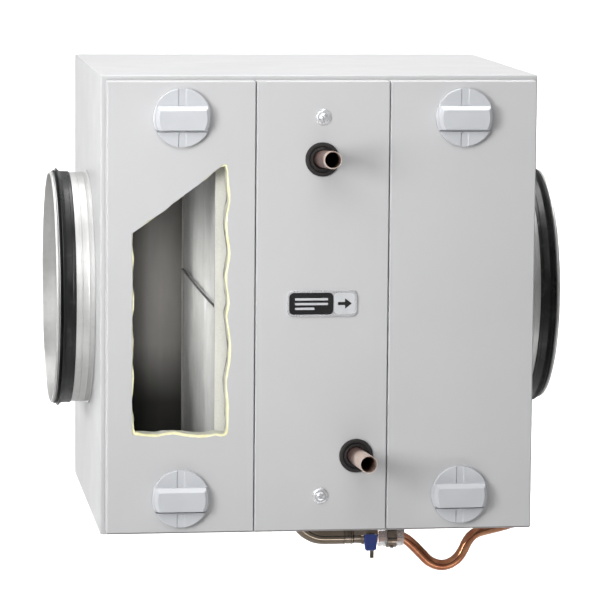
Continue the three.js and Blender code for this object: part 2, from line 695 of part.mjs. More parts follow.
function drainValve() {
  const axis = [0, DUCT_Y, DRAIN_Z];
  const nut = turned(
    [
      [6, 55.4], [9.2, 55.4], [9.2, 56.4], [8.7, 56.6], [8.7, 63.6],
      [9.3, 63.8], [9.3, 65.4], [8.6, 65.7], [6, 65.7],
    ],
    "right",
    16,
    axis,
  );
  piece("drain_nut", nut, steel);

  const port = 4.5;
  const body = rod(8.3, 66, 78, "right", 16, axis)
    .add(rod(10, 76, VALVE_X + 7, "right", 16, axis))
    .add(rod(7, VALVE_X + 5, VALVE_X + 10, "right", 16, axis))
    .add(rod(5.4, -DUCT_Y, -DUCT_Y + 12, "front", 12, [VALVE_X, 0, DRAIN_Z]))
    .add(rod(2.3, DRAIN_Z - 25.4, DRAIN_Z - 8, "up", 10, [VALVE_X + 4, DUCT_Y, 0]));
  const ballSeat = solid(new THREE.SphereGeometry(7, 12, 8).translate(VALVE_X, DUCT_Y, DRAIN_Z));
  const bores = rod(port, 0, 200, "right", 12, axis).add(
    rod(3, -DUCT_Y, 0, "front", 10, [VALVE_X, 0, DRAIN_Z]),
  );
  piece("valve_body", body.subtract(ballSeat).subtract(bores), steel);

  const ball = solid(new THREE.SphereGeometry(6.2, 12, 8).translate(VALVE_X, DUCT_Y, DRAIN_Z));
  const stem = rod(2.5, -DUCT_Y + 4.5, -LEVER_Y + 0.8, "front", 10, [VALVE_X, 0, DRAIN_Z]);
  const ballPort = rod(3.6, -12, 12, "up", 10, [VALVE_X, DUCT_Y, DRAIN_Z]);
  piece("valve_ball", ball.subtract(ballPort).add(stem), steel);

  const blade = extruded(
    [[-4.6, 5.8], [4.6, 5.8], [4.6, -4], [4, -11.6], [-4, -11.6], [-4.6, -4]],
    "y",
    LEVER_Y - 0.8,
    LEVER_Y + 0.8,
  ).translate([VALVE_X, 0, DRAIN_Z]);
  const hub = rod(4.6, -LEVER_Y - 2.6, -LEVER_Y, "front", 6, [VALVE_X, 0, DRAIN_Z]);
  const stemHole = rod(2.95, -LEVER_Y - 20, -LEVER_Y + 20, "front", 10, [VALVE_X, 0, DRAIN_Z]);
  piece("valve_lever", blade.add(hub).subtract(stemHole), steel);

  const grip = extruded(
    [
      [-7.2, 4.4], [7.2, 4.4], [7.1, -4], [6.3, -12.4],
      [4.8, -13.8], [-4.8, -13.8], [-6.3, -12.4], [-7.1, -4],
    ],
    "y",
    LEVER_Y - 3.4,
    LEVER_Y + 2.4,
  )
    .subtract(box([-5, 5], [LEVER_Y - 1.1, LEVER_Y + 1.1], [-12, 10]))
    .translate([VALVE_X, 0, DRAIN_Z])
    .subtract(rod(5.2, -LEVER_Y - 10, -LEVER_Y, "front", 12, [VALVE_X, 0, DRAIN_Z]));
  piece("lever_grip", grip, blueGrip);
}

// The trap dips below the drain line, rises again and leaves to the back right.
const TRAP_ROUTE = [
  [94.6, 186, -43.2],
  [110, 186, -43.2],
  [118.4, 186, -43.8],
  [126.6, 186, -47.6],
  [135, 186, -55],
  [143, 186, -63.8],
  [151, 186, -71.8],
  [159.4, 186, -76.2],
  [167.8, 186, -77.4],
  [176.4, 186, -75],
  [184.2, 186, -69.2],
  [189.6, 186, -61.2],
  [193.4, 186, -52.6],
  [198.6, 186.6, -45.4],
  [206, 189, -41.2],
  [217, 196, -39.8],
  [240, 217, -39.4],
  [262, 241, -39.2],
];

function drainTrap() {
  const route = new THREE.CatmullRomCurve3(TRAP_ROUTE.map((point) => new THREE.Vector3(...point)));
  const tube = swept(route, TRAP_RADIUS, 10, 40);
  const [before, end] = TRAP_ROUTE.slice(-2).map((point) => new THREE.Vector3(...point));
  const outwards = end.clone().sub(before).normalize();
  const mouth = barBetween(
    end.clone().addScaledVector(outwards, -16).toArray(),
    end.clone().addScaledVector(outwards, 5).toArray(),
    TRAP_RADIUS - 1,
    8,
  );
  piece("drain_trap", tube.subtract(mouth), copper);

  const hoseAxis = [0, DUCT_Y, DRAIN_Z - HOSE_DROP];
  const hose = rod(HOSE_RADIUS, 94.2, 122.4, "right", 20, hoseAxis).subtract(
    rod(HOSE_RADIUS - HOSE_WALL, 90, 130, "right", 20, hoseAxis),
  );
  piece("trap_hose", hose, clearHose);

  // The clamp's band, with the strap that hangs it from the casing's bottom.
  const [strapX, strapY] = [[112, 125.6], DUCT_Y + HOSE_RADIUS + GAP];
  const clamp = rod(HOSE_RADIUS + GAP + 0.8, 103.4, 114.2, "right", 20, hoseAxis)
    .add(box(strapX, [strapY, strapY + 2], [DRAIN_Z - HOSE_DROP - 2, -GAP]))
    .add(box(strapX, [strapY, strapY + 24], [-2 - GAP, -GAP]))
    .subtract(rod(HOSE_RADIUS + GAP, 90, 130, "right", 20, hoseAxis));
  piece("trap_clamp", clamp, steel);
}

// ---------------------------------------------------------------- duct spigots
function spigots() {
  const r = SPIGOT_RADIUS;
  const inner = r - SPIGOT_WALL;
  const spigot = [
    [r, INNER_HALF],
    [r, CASING_HALF + GAP],
    [r + 2.2, CASING_HALF + GAP],
    [r + 2.2, CASING_HALF + 1.6],
    [r, CASING_HALF + 1.6],
    [r, 232.5],
    [r + 0.6, 234],
    [r, 235.5],
    [r, 265.6],
    [r + 1.4, 266.4],
    [r + 1.4, SPIGOT_END],
    [inner, SPIGOT_END],
    [inner, INNER_HALF],
  ];
  const seal = [
    [r + GAP, 248],
    [r + 1.1, 248],
    [r + 1.1, 258],
    [r + 4.8, 261],
    [r + 1.3, 261.6],
    [r + 2.4, 264.4],
    [r + GAP, 265],
  ];
  for (const side of ["left", "right"]) {
    const place = [0, DUCT_Y, DUCT_Z];
    piece(`spigot_${side}`, turned(spigot, side, ROUND, place), zinc);
    piece(`spigot_seal_${side}`, turned(seal, side, ROUND, place), rubber);
  }
}

// ---------------------------------------------------------------- wall rails
function wallRail(name, z) {
  const start = CASING_DEPTH + GAP;
  const end = CASING_DEPTH + RAIL_DEPTH;
  const sheet = 1.5;
  const [foot, web] = [24, 13];
  const outline = [
    [start, -foot],
    [start + sheet, -foot],
    [start + sheet, -web],
    [end, -web],
    [end, web],
    [start + sheet, web],
    [start + sheet, foot],
    [start, foot],
    [start, web - sheet],
    [end - sheet, web - sheet],
    [end - sheet, -web + sheet],
    [start, -web + sheet],
  ];
  let rail = extruded(outline, "x", -RAIL_LENGTH / 2, RAIL_LENGTH / 2).translate([0, 0, z]);
  for (const x of [-150, 150]) rail = rail.subtract(rod(4.5, -450, -300, "front", 16, [x, 0, z]));
  piece(name, rail, zinc);
}

casing();
mullion("mullion_left", -71.5, -56);
mullion("mullion_right", 56, 82);
panels();
gaskets();
latches();
screws();
pipesAndGrommets();
badge();
filter();
coilFins();
coilPlates();
coilTubes();
condensateTray();
drainElbow();
drainValve();
drainTrap();
spigots();
wallRail("wall_rail_upper", UPPER_RAIL_Z);
wallRail("wall_rail_lower", LOWER_RAIL_Z);

// The origin is the middle of the upper wall rail's back face.
unit.position.set(0, -CASING_DEPTH - RAIL_DEPTH, -UPPER_RAIL_Z);

export default unit;
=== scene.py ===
"""Looks of the wall-hung duct coil unit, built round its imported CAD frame.

Lengths in this script are millimetres in the casing's own frame: X to the right of its centre line,
Y back from its front plane, Z up from its bottom. spot() turns them into metres in the row frame.
"""

import math

import bmesh
import bpy
from mathutils import Matrix, Vector, noise


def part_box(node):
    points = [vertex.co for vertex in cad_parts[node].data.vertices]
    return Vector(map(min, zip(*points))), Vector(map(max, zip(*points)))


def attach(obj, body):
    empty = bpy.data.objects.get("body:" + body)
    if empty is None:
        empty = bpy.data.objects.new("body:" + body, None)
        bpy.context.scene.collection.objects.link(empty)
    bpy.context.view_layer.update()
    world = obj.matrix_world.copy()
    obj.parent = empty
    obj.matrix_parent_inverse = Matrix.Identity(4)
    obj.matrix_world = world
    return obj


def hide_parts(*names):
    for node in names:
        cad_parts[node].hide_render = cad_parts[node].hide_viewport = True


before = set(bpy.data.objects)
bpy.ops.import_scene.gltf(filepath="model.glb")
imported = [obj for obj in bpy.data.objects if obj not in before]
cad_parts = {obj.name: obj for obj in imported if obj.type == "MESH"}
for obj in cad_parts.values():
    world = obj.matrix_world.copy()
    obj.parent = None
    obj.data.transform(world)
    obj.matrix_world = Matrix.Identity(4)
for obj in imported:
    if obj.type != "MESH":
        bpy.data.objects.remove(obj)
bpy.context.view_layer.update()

MM = 0.001
casing_low, casing_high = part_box("casing_skin")
CASING = Vector(((casing_low.x + casing_high.x) / 2, casing_low.y, casing_low.z))
HALF = (casing_high.x - casing_low.x) / 2 / MM
DEPTH = (casing_high.y - casing_low.y) / MM
HEIGHT = (casing_high.z - casing_low.z) / MM


def spot(x, y, z):
    """A place in the casing's frame as metres in the row frame."""
    return CASING + Vector((x, y, z)) * MM


def span(node):
    """((x0, x1), (y0, y1), (z0, z1)) of a CAD node, in millimetres in the casing's frame."""
    low, high = ((corner - CASING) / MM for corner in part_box(node))
    return tuple(zip(low, high))


def middle(node):
    return Vector([(low + high) / 2 for low, high in span(node)])


# ---------------------------------------------------------------- meshes
AXES = {
    "right": (Vector((1, 0, 0)), Vector((0, 1, 0)), Vector((0, 0, 1))),
    "left": (Vector((-1, 0, 0)), Vector((0, -1, 0)), Vector((0, 0, 1))),
    "front": (Vector((0, -1, 0)), Vector((1, 0, 0)), Vector((0, 0, 1))),
    "back": (Vector((0, 1, 0)), Vector((1, 0, 0)), Vector((0, 0, 1))),
    "up": (Vector((0, 0, 1)), Vector((1, 0, 0)), Vector((0, 1, 0))),
}


def linked(name, data):
    """A new object in the scene."""
    made = bpy.data.objects.new(name, data)
    bpy.context.scene.collection.objects.link(made)
    return made


def shape(name, points, faces):
    """A piece from points in the casing's frame, with its faces turned outwards."""
    mesh = bpy.data.meshes.new(name)
    mesh.from_pydata([spot(*p) for p in points], [], faces)
    work = bmesh.new()
    work.from_mesh(mesh)
    bmesh.ops.remove_doubles(work, verts=work.verts, dist=1e-7)
    bmesh.ops.recalc_face_normals(work, faces=work.faces)
    work.to_mesh(mesh)
    work.free()
    return linked(name, mesh)


def bake(piece):
    """Applies a piece's modifiers."""
    bpy.context.view_layer.update()
    graph = bpy.context.evaluated_depsgraph_get()
    mesh = bpy.data.meshes.new_from_object(piece.evaluated_get(graph))
    piece.modifiers.clear()
    piece.data = mesh
    return piece


def soften(piece, width, steps=2, angle=30):
    """Rounds a piece's edges to a width in millimetres."""
    bevel = piece.modifiers.new("edges", "BEVEL")
    bevel.width = width * MM
    bevel.segments = steps
    bevel.limit_method = "ANGLE"
    bevel.angle_limit = math.radians(angle)
    bevel.use_clamp_overlap = True
    return bake(piece)


def combine(piece, others, operation):
    for other in others:
        step = piece.modifiers.new("cut", "BOOLEAN")
        step.operation = operation
        step.solver = "EXACT"
        step.object = other
    bake(piece)
    for other in others:
        bpy.data.objects.remove(other)
    return piece


def cut(piece, *others):
    return combine(piece, others, "DIFFERENCE")


def join(piece, *others):
    return combine(piece, others, "UNION")


def common(piece, *others):
    return combine(piece, others, "INTERSECT")


def weld(piece, distance=0.0005):
    """Merges the points that cuts leave on top of each other, which would otherwise double a face."""
    step = piece.modifiers.new("weld", "WELD")
    step.merge_threshold = distance * MM
    return bake(piece)


def copied(piece, name, offset):
    """A copy moved by an offset in millimetres, with the move in its mesh."""
    made = linked(name, piece.data.copy())
    made.data.transform(Matrix.Translation(Vector(offset) * MM))
    return made


def block(name, x, y, z, radius=0.0, steps=3):
    corners = [(a, b, c) for a in x for b in y for c in z]
    faces = [(0, 1, 3, 2), (4, 6, 7, 5), (0, 4, 5, 1), (2, 3, 7, 6), (0, 2, 6, 4), (1, 5, 7, 3)]
    made = shape(name, corners, faces)
    return soften(made, radius, steps) if radius else made


def rounded(points, radius, steps=4):
    """A closed outline with its corners rounded."""
    flat = [Vector(p) for p in points]
    result = []
    for i, corner in enumerate(flat):
        before, after = flat[i - 1] - corner, flat[(i + 1) % len(flat)] - corner
        reach = min(radius, before.length * 0.45, after.length * 0.45)
        start, end = corner + before.normalized() * reach, corner + after.normalized() * reach
        for step in range(steps + 1):
            t = step / steps
            result.append(start * (1 - t) ** 2 + corner * 2 * t * (1 - t) + end * t**2)
    return [tuple(p) for p in result]


def band(here, there, count):
    """The faces between two rings of points, given the place of each ring's first point."""
    after = [(i + 1) % count for i in range(count)]
    return [(here + i, here + j, there + j, there + i) for i, j in enumerate(after)]


def prism(name, outline, axis, low, high):
    """An outline of (y, z), (x, z) or (x, y) pairs, pushed along x, y or z."""
    place = {
        "x": lambda u, v, along: (along, u, v),
        "y": lambda u, v, along: (u, along, v),
        "z": lambda u, v, along: (u, v, along),
    }[axis]
    count = len(outline)
    points = [place(u, v, along) for along in (low, high) for u, v in outline]
    ends = [tuple(range(count)), tuple(range(count, 2 * count))]
    return shape(name, points, ends + band(0, count, count))


def lathe(name, profile, direction, centre, around):
    """A body of revolution with a profile of (radius, distance along the direction)."""
    along, across, upward = AXES[direction] if isinstance(direction, str) else direction
    centre = Vector(centre)
    closed = not (profile[0][0] == 0 and profile[-1][0] == 0)
    points, faces = [], []
    for step in range(around):
        angle = 2 * math.pi * step / around
        outwards = across * math.cos(angle) + upward * math.sin(angle)
        points += [centre + outwards * radius + along * distance for radius, distance in profile]
    count = len(profile)
    for step in range(around):
        here, there = step * count, (step + 1) % around * count
        for i in range(count if closed else count - 1):
            j = (i + 1) % count
            corners = [here + i, here + j, there + j, there + i]
            if profile[i][0] == 0:
                corners = corners[:3]
            elif profile[j][0] == 0:
                corners = [corners[0], corners[1], corners[3]]
            faces.append(tuple(corners))
    return shape(name, points, faces)


def rod(name, radius, low, high, direction, centre, around):
    return lathe(name, [(0, low), (radius, low), (radius, high), (0, high)], direction, centre, around)


def between(a, b, c, d, t):
    """The place at share t of the smooth stretch from b to c, with a before it and d after it."""
    return (b * 2 + (c - a) * t + (a * 2 - b * 5 + c * 4 - d) * t**2 + (b * 3 - a - c * 3 + d) * t**3) / 2


def curve_through(points, per_stretch):
    """Points on a smooth curve through the given ones."""
    known = [Vector(p) for p in points]
    known = [known[0] * 2 - known[1], *known, known[-1] * 2 - known[-2]]
    result = []
    for i in range(1, len(known) - 2):
        result += [between(*known[i - 1 : i + 3], step / per_stretch) for step in range(per_stretch)]
    return [*result, known[-2]]


def tube(name, path, radius, around, bore=0.0):
    """A round bar along a path, hollow if it has a bore radius."""
    path = [Vector(p) for p in path]
    ahead = [(path[min(i + 1, len(path) - 1)] - path[max(i - 1, 0)]).normalized() for i in range(len(path))]
    side = ahead[0].orthogonal().normalized()
    points = []
    for i, centre in enumerate(path):
        side = (side - ahead[i] * side.dot(ahead[i])).normalized()
        other = ahead[i].cross(side)
        for r in (radius, bore) if bore else (radius,):
            for step in range(around):
                angle = 2 * math.pi * step / around
                points.append(centre + side * math.cos(angle) * r + other * math.sin(angle) * r)
    rings = 2 if bore else 1
    faces = []
    for i in range(len(path) - 1):
        for ring in range(rings):
            faces += band((i * rings + ring) * around, ((i + 1) * rings + ring) * around, around)
    last = (len(path) - 1) * rings * around
    for start in (0, last):
        faces += band(start, start + around, around) if bore else [tuple(range(start, start + around))]
    return shape(name, points, faces)


# ---------------------------------------------------------------- materials
def tone(red, green, blue):
    """A display colour from 0 to 255 as the shader's linear colour. Finishes are given display colours."""
    shares = [c / 255 for c in (red, green, blue)]
    return (*[s / 12.92 if s <= 0.04045 else ((s + 0.055) / 1.055) ** 2.4 for s in shares], 1.0)


class Finish:
    """A node material. Places in it are the row frame's metres."""

    def __init__(self, name, **direct):
        self.material = bpy.data.materials.new(name)
        self.material.use_nodes = True
        self.tree = self.material.node_tree
        self.shader = self.tree.nodes["Principled BSDF"]
        for socket, value in direct.items():
            self.shader.inputs[socket.replace("_", " ")].default_value = value
        self.places = self.tree.nodes.new("ShaderNodeTexCoord").outputs["Object"]

    def node(self, kind, settings=None, **inputs):
        made = self.tree.nodes.new("ShaderNode" + kind)
        for key, value in (settings or {}).items():
            setattr(made, key, value)
        for key, value in inputs.items():
            socket = made.inputs[int(key[1:])] if key[1:].isdigit() else made.inputs[key.replace("_", " ")]
            if isinstance(value, bpy.types.NodeSocket):
                self.tree.links.new(value, socket)
            else:
                socket.default_value = value
        return made

    def noise(self, scale, detail, stretch=(1, 1, 1), distortion=0.0):
        places = self.node("Mapping", Vector=self.places, Scale=stretch).outputs[0]
        made = self.node("TexNoise", Vector=places, Scale=scale, Detail=detail, Distortion=distortion)
        return made.outputs[0]

    def cells(self, scale, output="Distance"):
        return self.node("TexVoronoi", Vector=self.places, Scale=scale).outputs[output]

    def ramp(self, value, *stops):
        """Display colours along a value, from stops of (position, colour)."""
        made = self.node("ValToRGB", Fac=value)
        elements = made.color_ramp.elements
        while len(elements) < len(stops):
            elements.new(0.5)
        for element, (position, colour) in zip(elements, stops):
            element.position, element.color = position, tone(*colour)
        return made.outputs[0]

    def spread(self, value, low, high, start=0.3, end=0.7):
        """The value's range from start to end, mapped to low and high."""
        made = self.node("MapRange", Value=value)
        for key, number in (("From Min", start), ("From Max", end), ("To Min", low), ("To Max", high)):
            made.inputs[key].default_value = number
        return made.outputs[0]

    def mix(self, factor, below, above, blend="MIX"):
        settings = {"data_type": "RGBA", "blend_type": blend}
        above = tone(*above) if isinstance(above, tuple) else above
        return self.node("Mix", settings, _0=factor, _6=below, _7=above).outputs[2]

    def math(self, operation, a, b):
        return self.node("Math", {"operation": operation}, _0=a, _1=b).outputs[0]

    def blend(self, a, share_a, b, share_b):
        return self.math("ADD", self.math("MULTIPLY", a, share_a), self.math("MULTIPLY", b, share_b))

    def along(self, axis, start, end):
        """0 to 1 along an axis, from start to end in millimetres in the casing's frame."""
        i = "XYZ".index(axis)
        parts = self.node("SeparateXYZ", Vector=self.places)
        return self.spread(parts.outputs[i], 0.0, 1.0, CASING[i] + start * MM, CASING[i] + end * MM)

    def shade(self, colour, value, stops, warmth=0):
        """Darkens a colour along a value, by stops of (position, grey)."""
        greys = self.ramp(value, *[(p, (t, t, t - warmth)) for p, t in stops])
        return self.mix(1.0, colour, greys, "MULTIPLY")

    def finish(self, colour, rough, height=None, strength=0.2, distance=0.0002):
        self.tree.links.new(colour, self.shader.inputs["Base Color"])
        self.tree.links.new(rough, self.shader.inputs["Roughness"])
        if height is not None:
            bump = self.node("Bump", Height=height, Strength=strength, Distance=distance)
            self.tree.links.new(bump.outputs[0], self.shader.inputs["Normal"])
        return self.material


def powder_coat(name, light, dark, shade_line_height=None):
    """White paint; the last argument is the height of a panel's lower edge, with a thin line of painted shade
    along it.
    """
    f = Finish(name, Metallic=0.0, Specular_IOR_Level=0.25)
    clouds = f.noise(6, 5, distortion=0.4)
    colour = f.ramp(clouds, (0.3, dark), (0.7, light))
    specks = f.spread(f.cells(160), 0.0, 1.0, 0.02, 0.05)
    colour = f.mix(f.spread(specks, 0.10, 0.0, 0, 1), colour, (150, 150, 148))
    if shade_line_height is not None:
        # The panel's lowest millimetre or so is darkened as painted shade along its lower edge.
        edge = f.along("Z", shade_line_height + 1.5, shade_line_height + 0.7)
        colour = f.mix(f.math("MULTIPLY", edge, 0.8), colour, (88, 74, 70))
    peel = f.math("ADD", f.noise(1500, 2), f.noise(420, 2))
    return f.finish(colour, f.spread(f.noise(24, 6), 0.44, 0.56), peel, 0.12, 0.00006)


def moulded(name, light, dark, rough, bump, **direct):
    """Plastic with a fine moulded grain."""
    f = Finish(name, **direct)
    colour = f.ramp(f.noise(30, 5, distortion=0.3), (0.3, dark), (0.7, light))
    sparkle = f.math("ADD", f.noise(2600, 2), f.noise(350, 3))
    return f.finish(colour, f.spread(f.noise(60, 5), *rough), sparkle, bump, 0.00008)


def rubbery(name, light, dark, rough):
    """Dark rubber with a little dust on it."""
    f = Finish(name, Specular_IOR_Level=0.45)
    dust_and_shade = f.noise(55, 7, distortion=0.8)
    colour = f.ramp(dust_and_shade, (0.35, dark), (0.6, dark), (0.78, light))
    return f.finish(colour, f.spread(dust_and_shade, *rough), f.noise(1400, 3), 0.15, 0.0001)


def sheet_metal(name, light, dark, rough, stretch, spangle, metallic=1.0, crystal=0.35):
    """Zinc-coated sheet: crystal spangle under long rolling streaks."""
    f = Finish(name, Metallic=metallic)
    crystals = f.cells(spangle, output="Color")
    grey = f.node("RGBToBW", Color=crystals).outputs[0]
    streaks = f.noise(90, 5, stretch=stretch)
    blend = f.blend(grey, crystal, streaks, 1 - crystal)
    colour = f.ramp(blend, (0.25, dark), (0.7, light))
    stains = f.spread(f.noise(9, 6, distortion=0.6), 0.0, 0.3, 0.55, 0.8)
    colour = f.mix(stains, colour, dark)
    return f.finish(colour, f.spread(blend, *rough), f.noise(900, 3, stretch=stretch), 0.1, 0.00005)


def chamber_sheet():
    """The casing's inner sheet: dull, darkened with painted shade towards the bottom, a little towards the
    top, and towards the chamber's left corner.
    """
    f = Finish("chamber_sheet", Metallic=0.4)
    streaks = f.math("ADD", f.noise(60, 5, stretch=(1, 1, 0.2)), f.math("MULTIPLY", f.noise(14, 4), 0.5))
    colour = f.ramp(streaks, (0.5, (170, 167, 163)), (1.0, (188, 185, 181)))
    # Painted shade: darker low down in the chamber, and somewhat darker again from about 250 mm up.
    dust_and_shade = [(0.0, 128), (0.1, 128), (0.24, 196), (0.38, 250), (0.6, 255), (0.8, 250), (1.0, 210)]
    colour = f.shade(colour, f.along("Z", 60, 300), dust_and_shade)
    # Painted shade: darker towards the chamber's left side.
    corner = [(0.0, 126), (0.3, 170), (0.6, 226), (1.0, 255)]
    colour = f.shade(colour, f.along("X", -163, -133), corner)
    return f.finish(colour, f.spread(streaks, 0.45, 0.6, 0.5, 1.0), f.noise(700, 3), 0.08, 0.00005)


def tarnished(name, bright, warm, dark, rough, patch, metallic=1.0, bump=0.14):
    """Bare metal with oxide patches, drawing lines and fingerprints."""
    f = Finish(name, Metallic=metallic)
    patches = f.noise(patch, 7, distortion=0.9)
    colour = f.ramp(patches, (0.3, dark), (0.5, warm), (0.7, bright))
    spots = f.spread(f.cells(420), 0.4, 0.0, 0.03, 0.12)
    colour = f.mix(spots, colour, dark)
    return f.finish(colour, f.spread(patches, rough[1], rough[0]), f.noise(700, 4), bump, 0.00006)


def cell_foam():
    """Insulation foam: pale yellow at the door's face as painted highlight on its front edge, greyer behind
    it as painted shade.
    """
    f = Finish("cell_foam", Specular_IOR_Level=0.2)
    pores = f.cells(900)
    big = f.cells(330)
    both = f.blend(pores, 0.6, big, 0.5)
    patches = f.noise(70, 6)
    # The pale yellow tone near the face is painted highlight on the front edge; the greyer tone behind it is
    # painted shade.
    skin = f.ramp(patches, (0.3, (244, 240, 190)), (0.68, (255, 254, 220)))
    core = f.ramp(patches, (0.3, (194, 194, 180)), (0.68, (216, 216, 206)))
    colour = f.mix(f.along("Y", -19.6, -17), skin, core)
    colour = f.mix(f.spread(both, 0.35, 0.0, 0.12, 0.42), colour, (186, 182, 140))
    return f.finish(colour, f.spread(both, 0.82, 0.98), both, 0.55, 0.0006)


def card():
    """The filter's frame: folded card."""
    f = Finish("filter_card", Specular_IOR_Level=0.15, Sheen_Weight=0.2, Sheen_Roughness=0.5)
    fibres = f.noise(520, 6, stretch=(1, 0.45, 1), distortion=2.2)
    clumps = f.noise(48, 5, stretch=(1, 1, 0.3))
    both = f.blend(fibres, 0.5, clumps, 0.5)
    colour = f.ramp(both, (0.36, (196, 195, 188)), (0.62, (218, 217, 210)))
    return f.finish(colour, f.spread(fibres, 0.85, 1.0), both, 0.5, 0.0008)


def fleece():
    """White in front, and greyer from about 130 mm back: painted shadow of the cutaway's edge."""
    f = Finish("filter_fleece", Specular_IOR_Level=0.15, Sheen_Weight=0.5, Sheen_Roughness=0.5)
    fibres = f.noise(620, 6, stretch=(1, 0.7, 1), distortion=2.4)
    clumps = f.noise(60, 5, stretch=(1, 1, 0.7))
    both = f.blend(fibres, 0.4, clumps, 0.6)
    colour = f.ramp(both, (0.36, (212, 212, 210)), (0.62, (230, 230, 230)))
    wander = f.math("MULTIPLY", f.math("SUBTRACT", f.noise(22, 4), 0.5), 0.09)
    deep = f.math("ADD", f.along("Y", 0, 345), wander)
    # Painted shadow: from about 130 mm back the fleece is darkened, with a slight warm tint, behind the
    # cutaway's shadow edge.
    dust_and_shade = [(0.0, 252), (0.37, 255), (0.42, 220), (0.52, 220), (0.64, 224), (0.76, 236), (1.0, 248)]
    colour = f.shade(colour, deep, dust_and_shade, warmth=3)
    return f.finish(colour, f.spread(fibres, 0.85, 1.0), both, 0.5, 0.0009)


def pipe_copper(level, sanded_length):
    """Tarnished at the panel, sanded towards the open end, bare and bright on the cut end."""
    f = Finish("pipe_copper_" + level, Metallic=0.7)
    front = span("pipe_" + level)[1][0]
    edge, fade = front + sanded_length, 22
    near_end = f.along("Y", edge + fade, edge - fade)
    wander = f.math("MULTIPLY", f.math("SUBTRACT", f.noise(60, 5), 0.5), 0.8)
    share = f.math("ADD", near_end, wander)
    oxide = f.ramp(f.noise(45, 6), (0.35, (78, 56, 52)), (0.65, (122, 94, 86)))
    strokes = f.noise(140, 5, stretch=(1, 0.2, 1))
    sanded = f.ramp(strokes, (0.3, (212, 184, 170)), (0.7, (240, 220, 206)))
    colour = f.mix(f.spread(share, 0.0, 1.0, 0.25, 0.7), oxide, sanded)
    cut_end = f.along("Y", front + 1.3, front + 0.5)
    colour = f.mix(cut_end, colour, (255, 236, 222))
    rings = f.noise(500, 3, stretch=(0.2, 1, 0.2))
    return f.finish(colour, f.spread(share, 0.42, 0.34, 0.2, 0.8), rings, 0.2, 0.0001)


def clear_plastic():
    """A soft clear hose with a little haze."""
    f = Finish("clear_hose", Alpha=0.34, Specular_IOR_Level=0.6)
    haze = f.noise(120, 5, stretch=(0.3, 1, 1), distortion=0.5)
    colour = f.ramp(haze, (0.3, (205, 207, 206)), (0.7, (236, 237, 236)))
    return f.finish(colour, f.spread(haze, 0.1, 0.26), f.noise(300, 3), 0.08, 0.0001)


FINISHES = {
    "paint": powder_coat("powder_coat", (197, 197, 198), (193, 193, 194)),
    "front_paint": powder_coat("front_coat", (197, 197, 198), (193, 193, 194), span("left_door_skin")[2][0]),
    "knob_plastic": moulded(
        "knob_plastic", (199, 201, 205), (193, 195, 199), (0.18, 0.26), 0.06, Specular_IOR_Level=0.6
    ),
    "rubber": rubbery("black_rubber", (52, 52, 54), (13, 13, 14), (0.26, 0.5)),
    "grey_rubber": rubbery("grey_rubber", (70, 64, 63), (35, 31, 31), (0.6, 0.75)),
    "liner_sheet": sheet_metal(
        "liner_sheet", (150, 147, 143), (132, 129, 125), (0.42, 0.55), (1, 1, 0.15), 200, 0.5, 0.08
    ),
    "zinc": sheet_metal("zinc_plate", (186, 189, 192), (150, 153, 157), (0.26, 0.42), (0.2, 1, 1), 300),
    "galvanised": sheet_metal(
        "duct_sheet", (212, 212, 211), (184, 184, 182), (0.34, 0.48), (1, 0.06, 0.06), 160, 0.5, 0.12
    ),
    "copper": tarnished(
        "drawn_copper", (224, 166, 126), (190, 124, 92), (142, 84, 62), (0.12, 0.22), 34, 0.88, 0.05
    ),
    "pipe_copper_upper": pipe_copper("upper", 8),
    "pipe_copper_lower": pipe_copper("lower", 46),
    "clear_hose": clear_plastic(),
    "washer_zinc": sheet_metal(
        "washer_zinc", (250, 250, 252), (222, 223, 226), (0.2, 0.32), (1, 1, 1), 300, 0.55, 0.2
    ),
    "fins": sheet_metal("fin_aluminium", (214, 217, 220), (180, 184, 188), (0.25, 0.4), (1, 1, 0.1), 500),
    "tray_plastic": moulded("tray_plastic", (52, 54, 57), (34, 35, 38), (0.5, 0.65), 0.2),
    "plated_steel": tarnished(
        "aged_nickel", (156, 144, 132), (132, 120, 108), (104, 94, 84), (0.12, 0.24), 55, 1.0, 0.06
    ),
    "elbow_steel": tarnished(
        "drawn_steel", (150, 138, 124), (134, 122, 108), (114, 102, 90), (0.08, 0.15), 18, 1.0, 0.03
    ),
    "screw_steel": tarnished(
        "bright_zinc", (250, 250, 252), (232, 233, 236), (200, 201, 206), (0.16, 0.3), 300, 0.6
    ),
    "dark_wire": tarnished(
        "dark_wire", (124, 122, 121), (104, 102, 101), (76, 75, 74), (0.35, 0.5), 300, 0.3
    ),
    "blue_grip": moulded(
        "blue_grip", (36, 68, 160), (24, 46, 122), (0.14, 0.26), 0.1, Specular_IOR_Level=0.7, Coat_Weight=0.8
    ),
    "badge_dark": moulded("badge_black", (30, 30, 32), (16, 16, 18), (0.22, 0.3), 0.05, Coat_Weight=0.5),
    "badge_light": moulded("badge_pale", (206, 208, 210), (190, 192, 195), (0.25, 0.35), 0.05),
    "foam": cell_foam(),
    "filter_card": card(),
    "fleece": fleece(),
    "chamber_sheet": chamber_sheet(),
}


# ---------------------------------------------------------------- placing pieces
def settle(piece, body, finish, *nodes, slot=None, angle=40):
    """Shades and paints a finished piece, ties it to its body and hides the CAD nodes it stands for."""
    mesh = piece.data
    mesh.materials.clear()
    mesh.materials.append(FINISHES[finish])
    mesh.shade_smooth()
    mesh.set_sharp_from_angle(angle=math.radians(angle))
    level = piece.modifiers.new("flat faces", "WEIGHTED_NORMAL")
    level.keep_sharp = True
    level.weight = 80
    bake(piece)
    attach(piece, body)
    if nodes:
        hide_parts(*nodes)


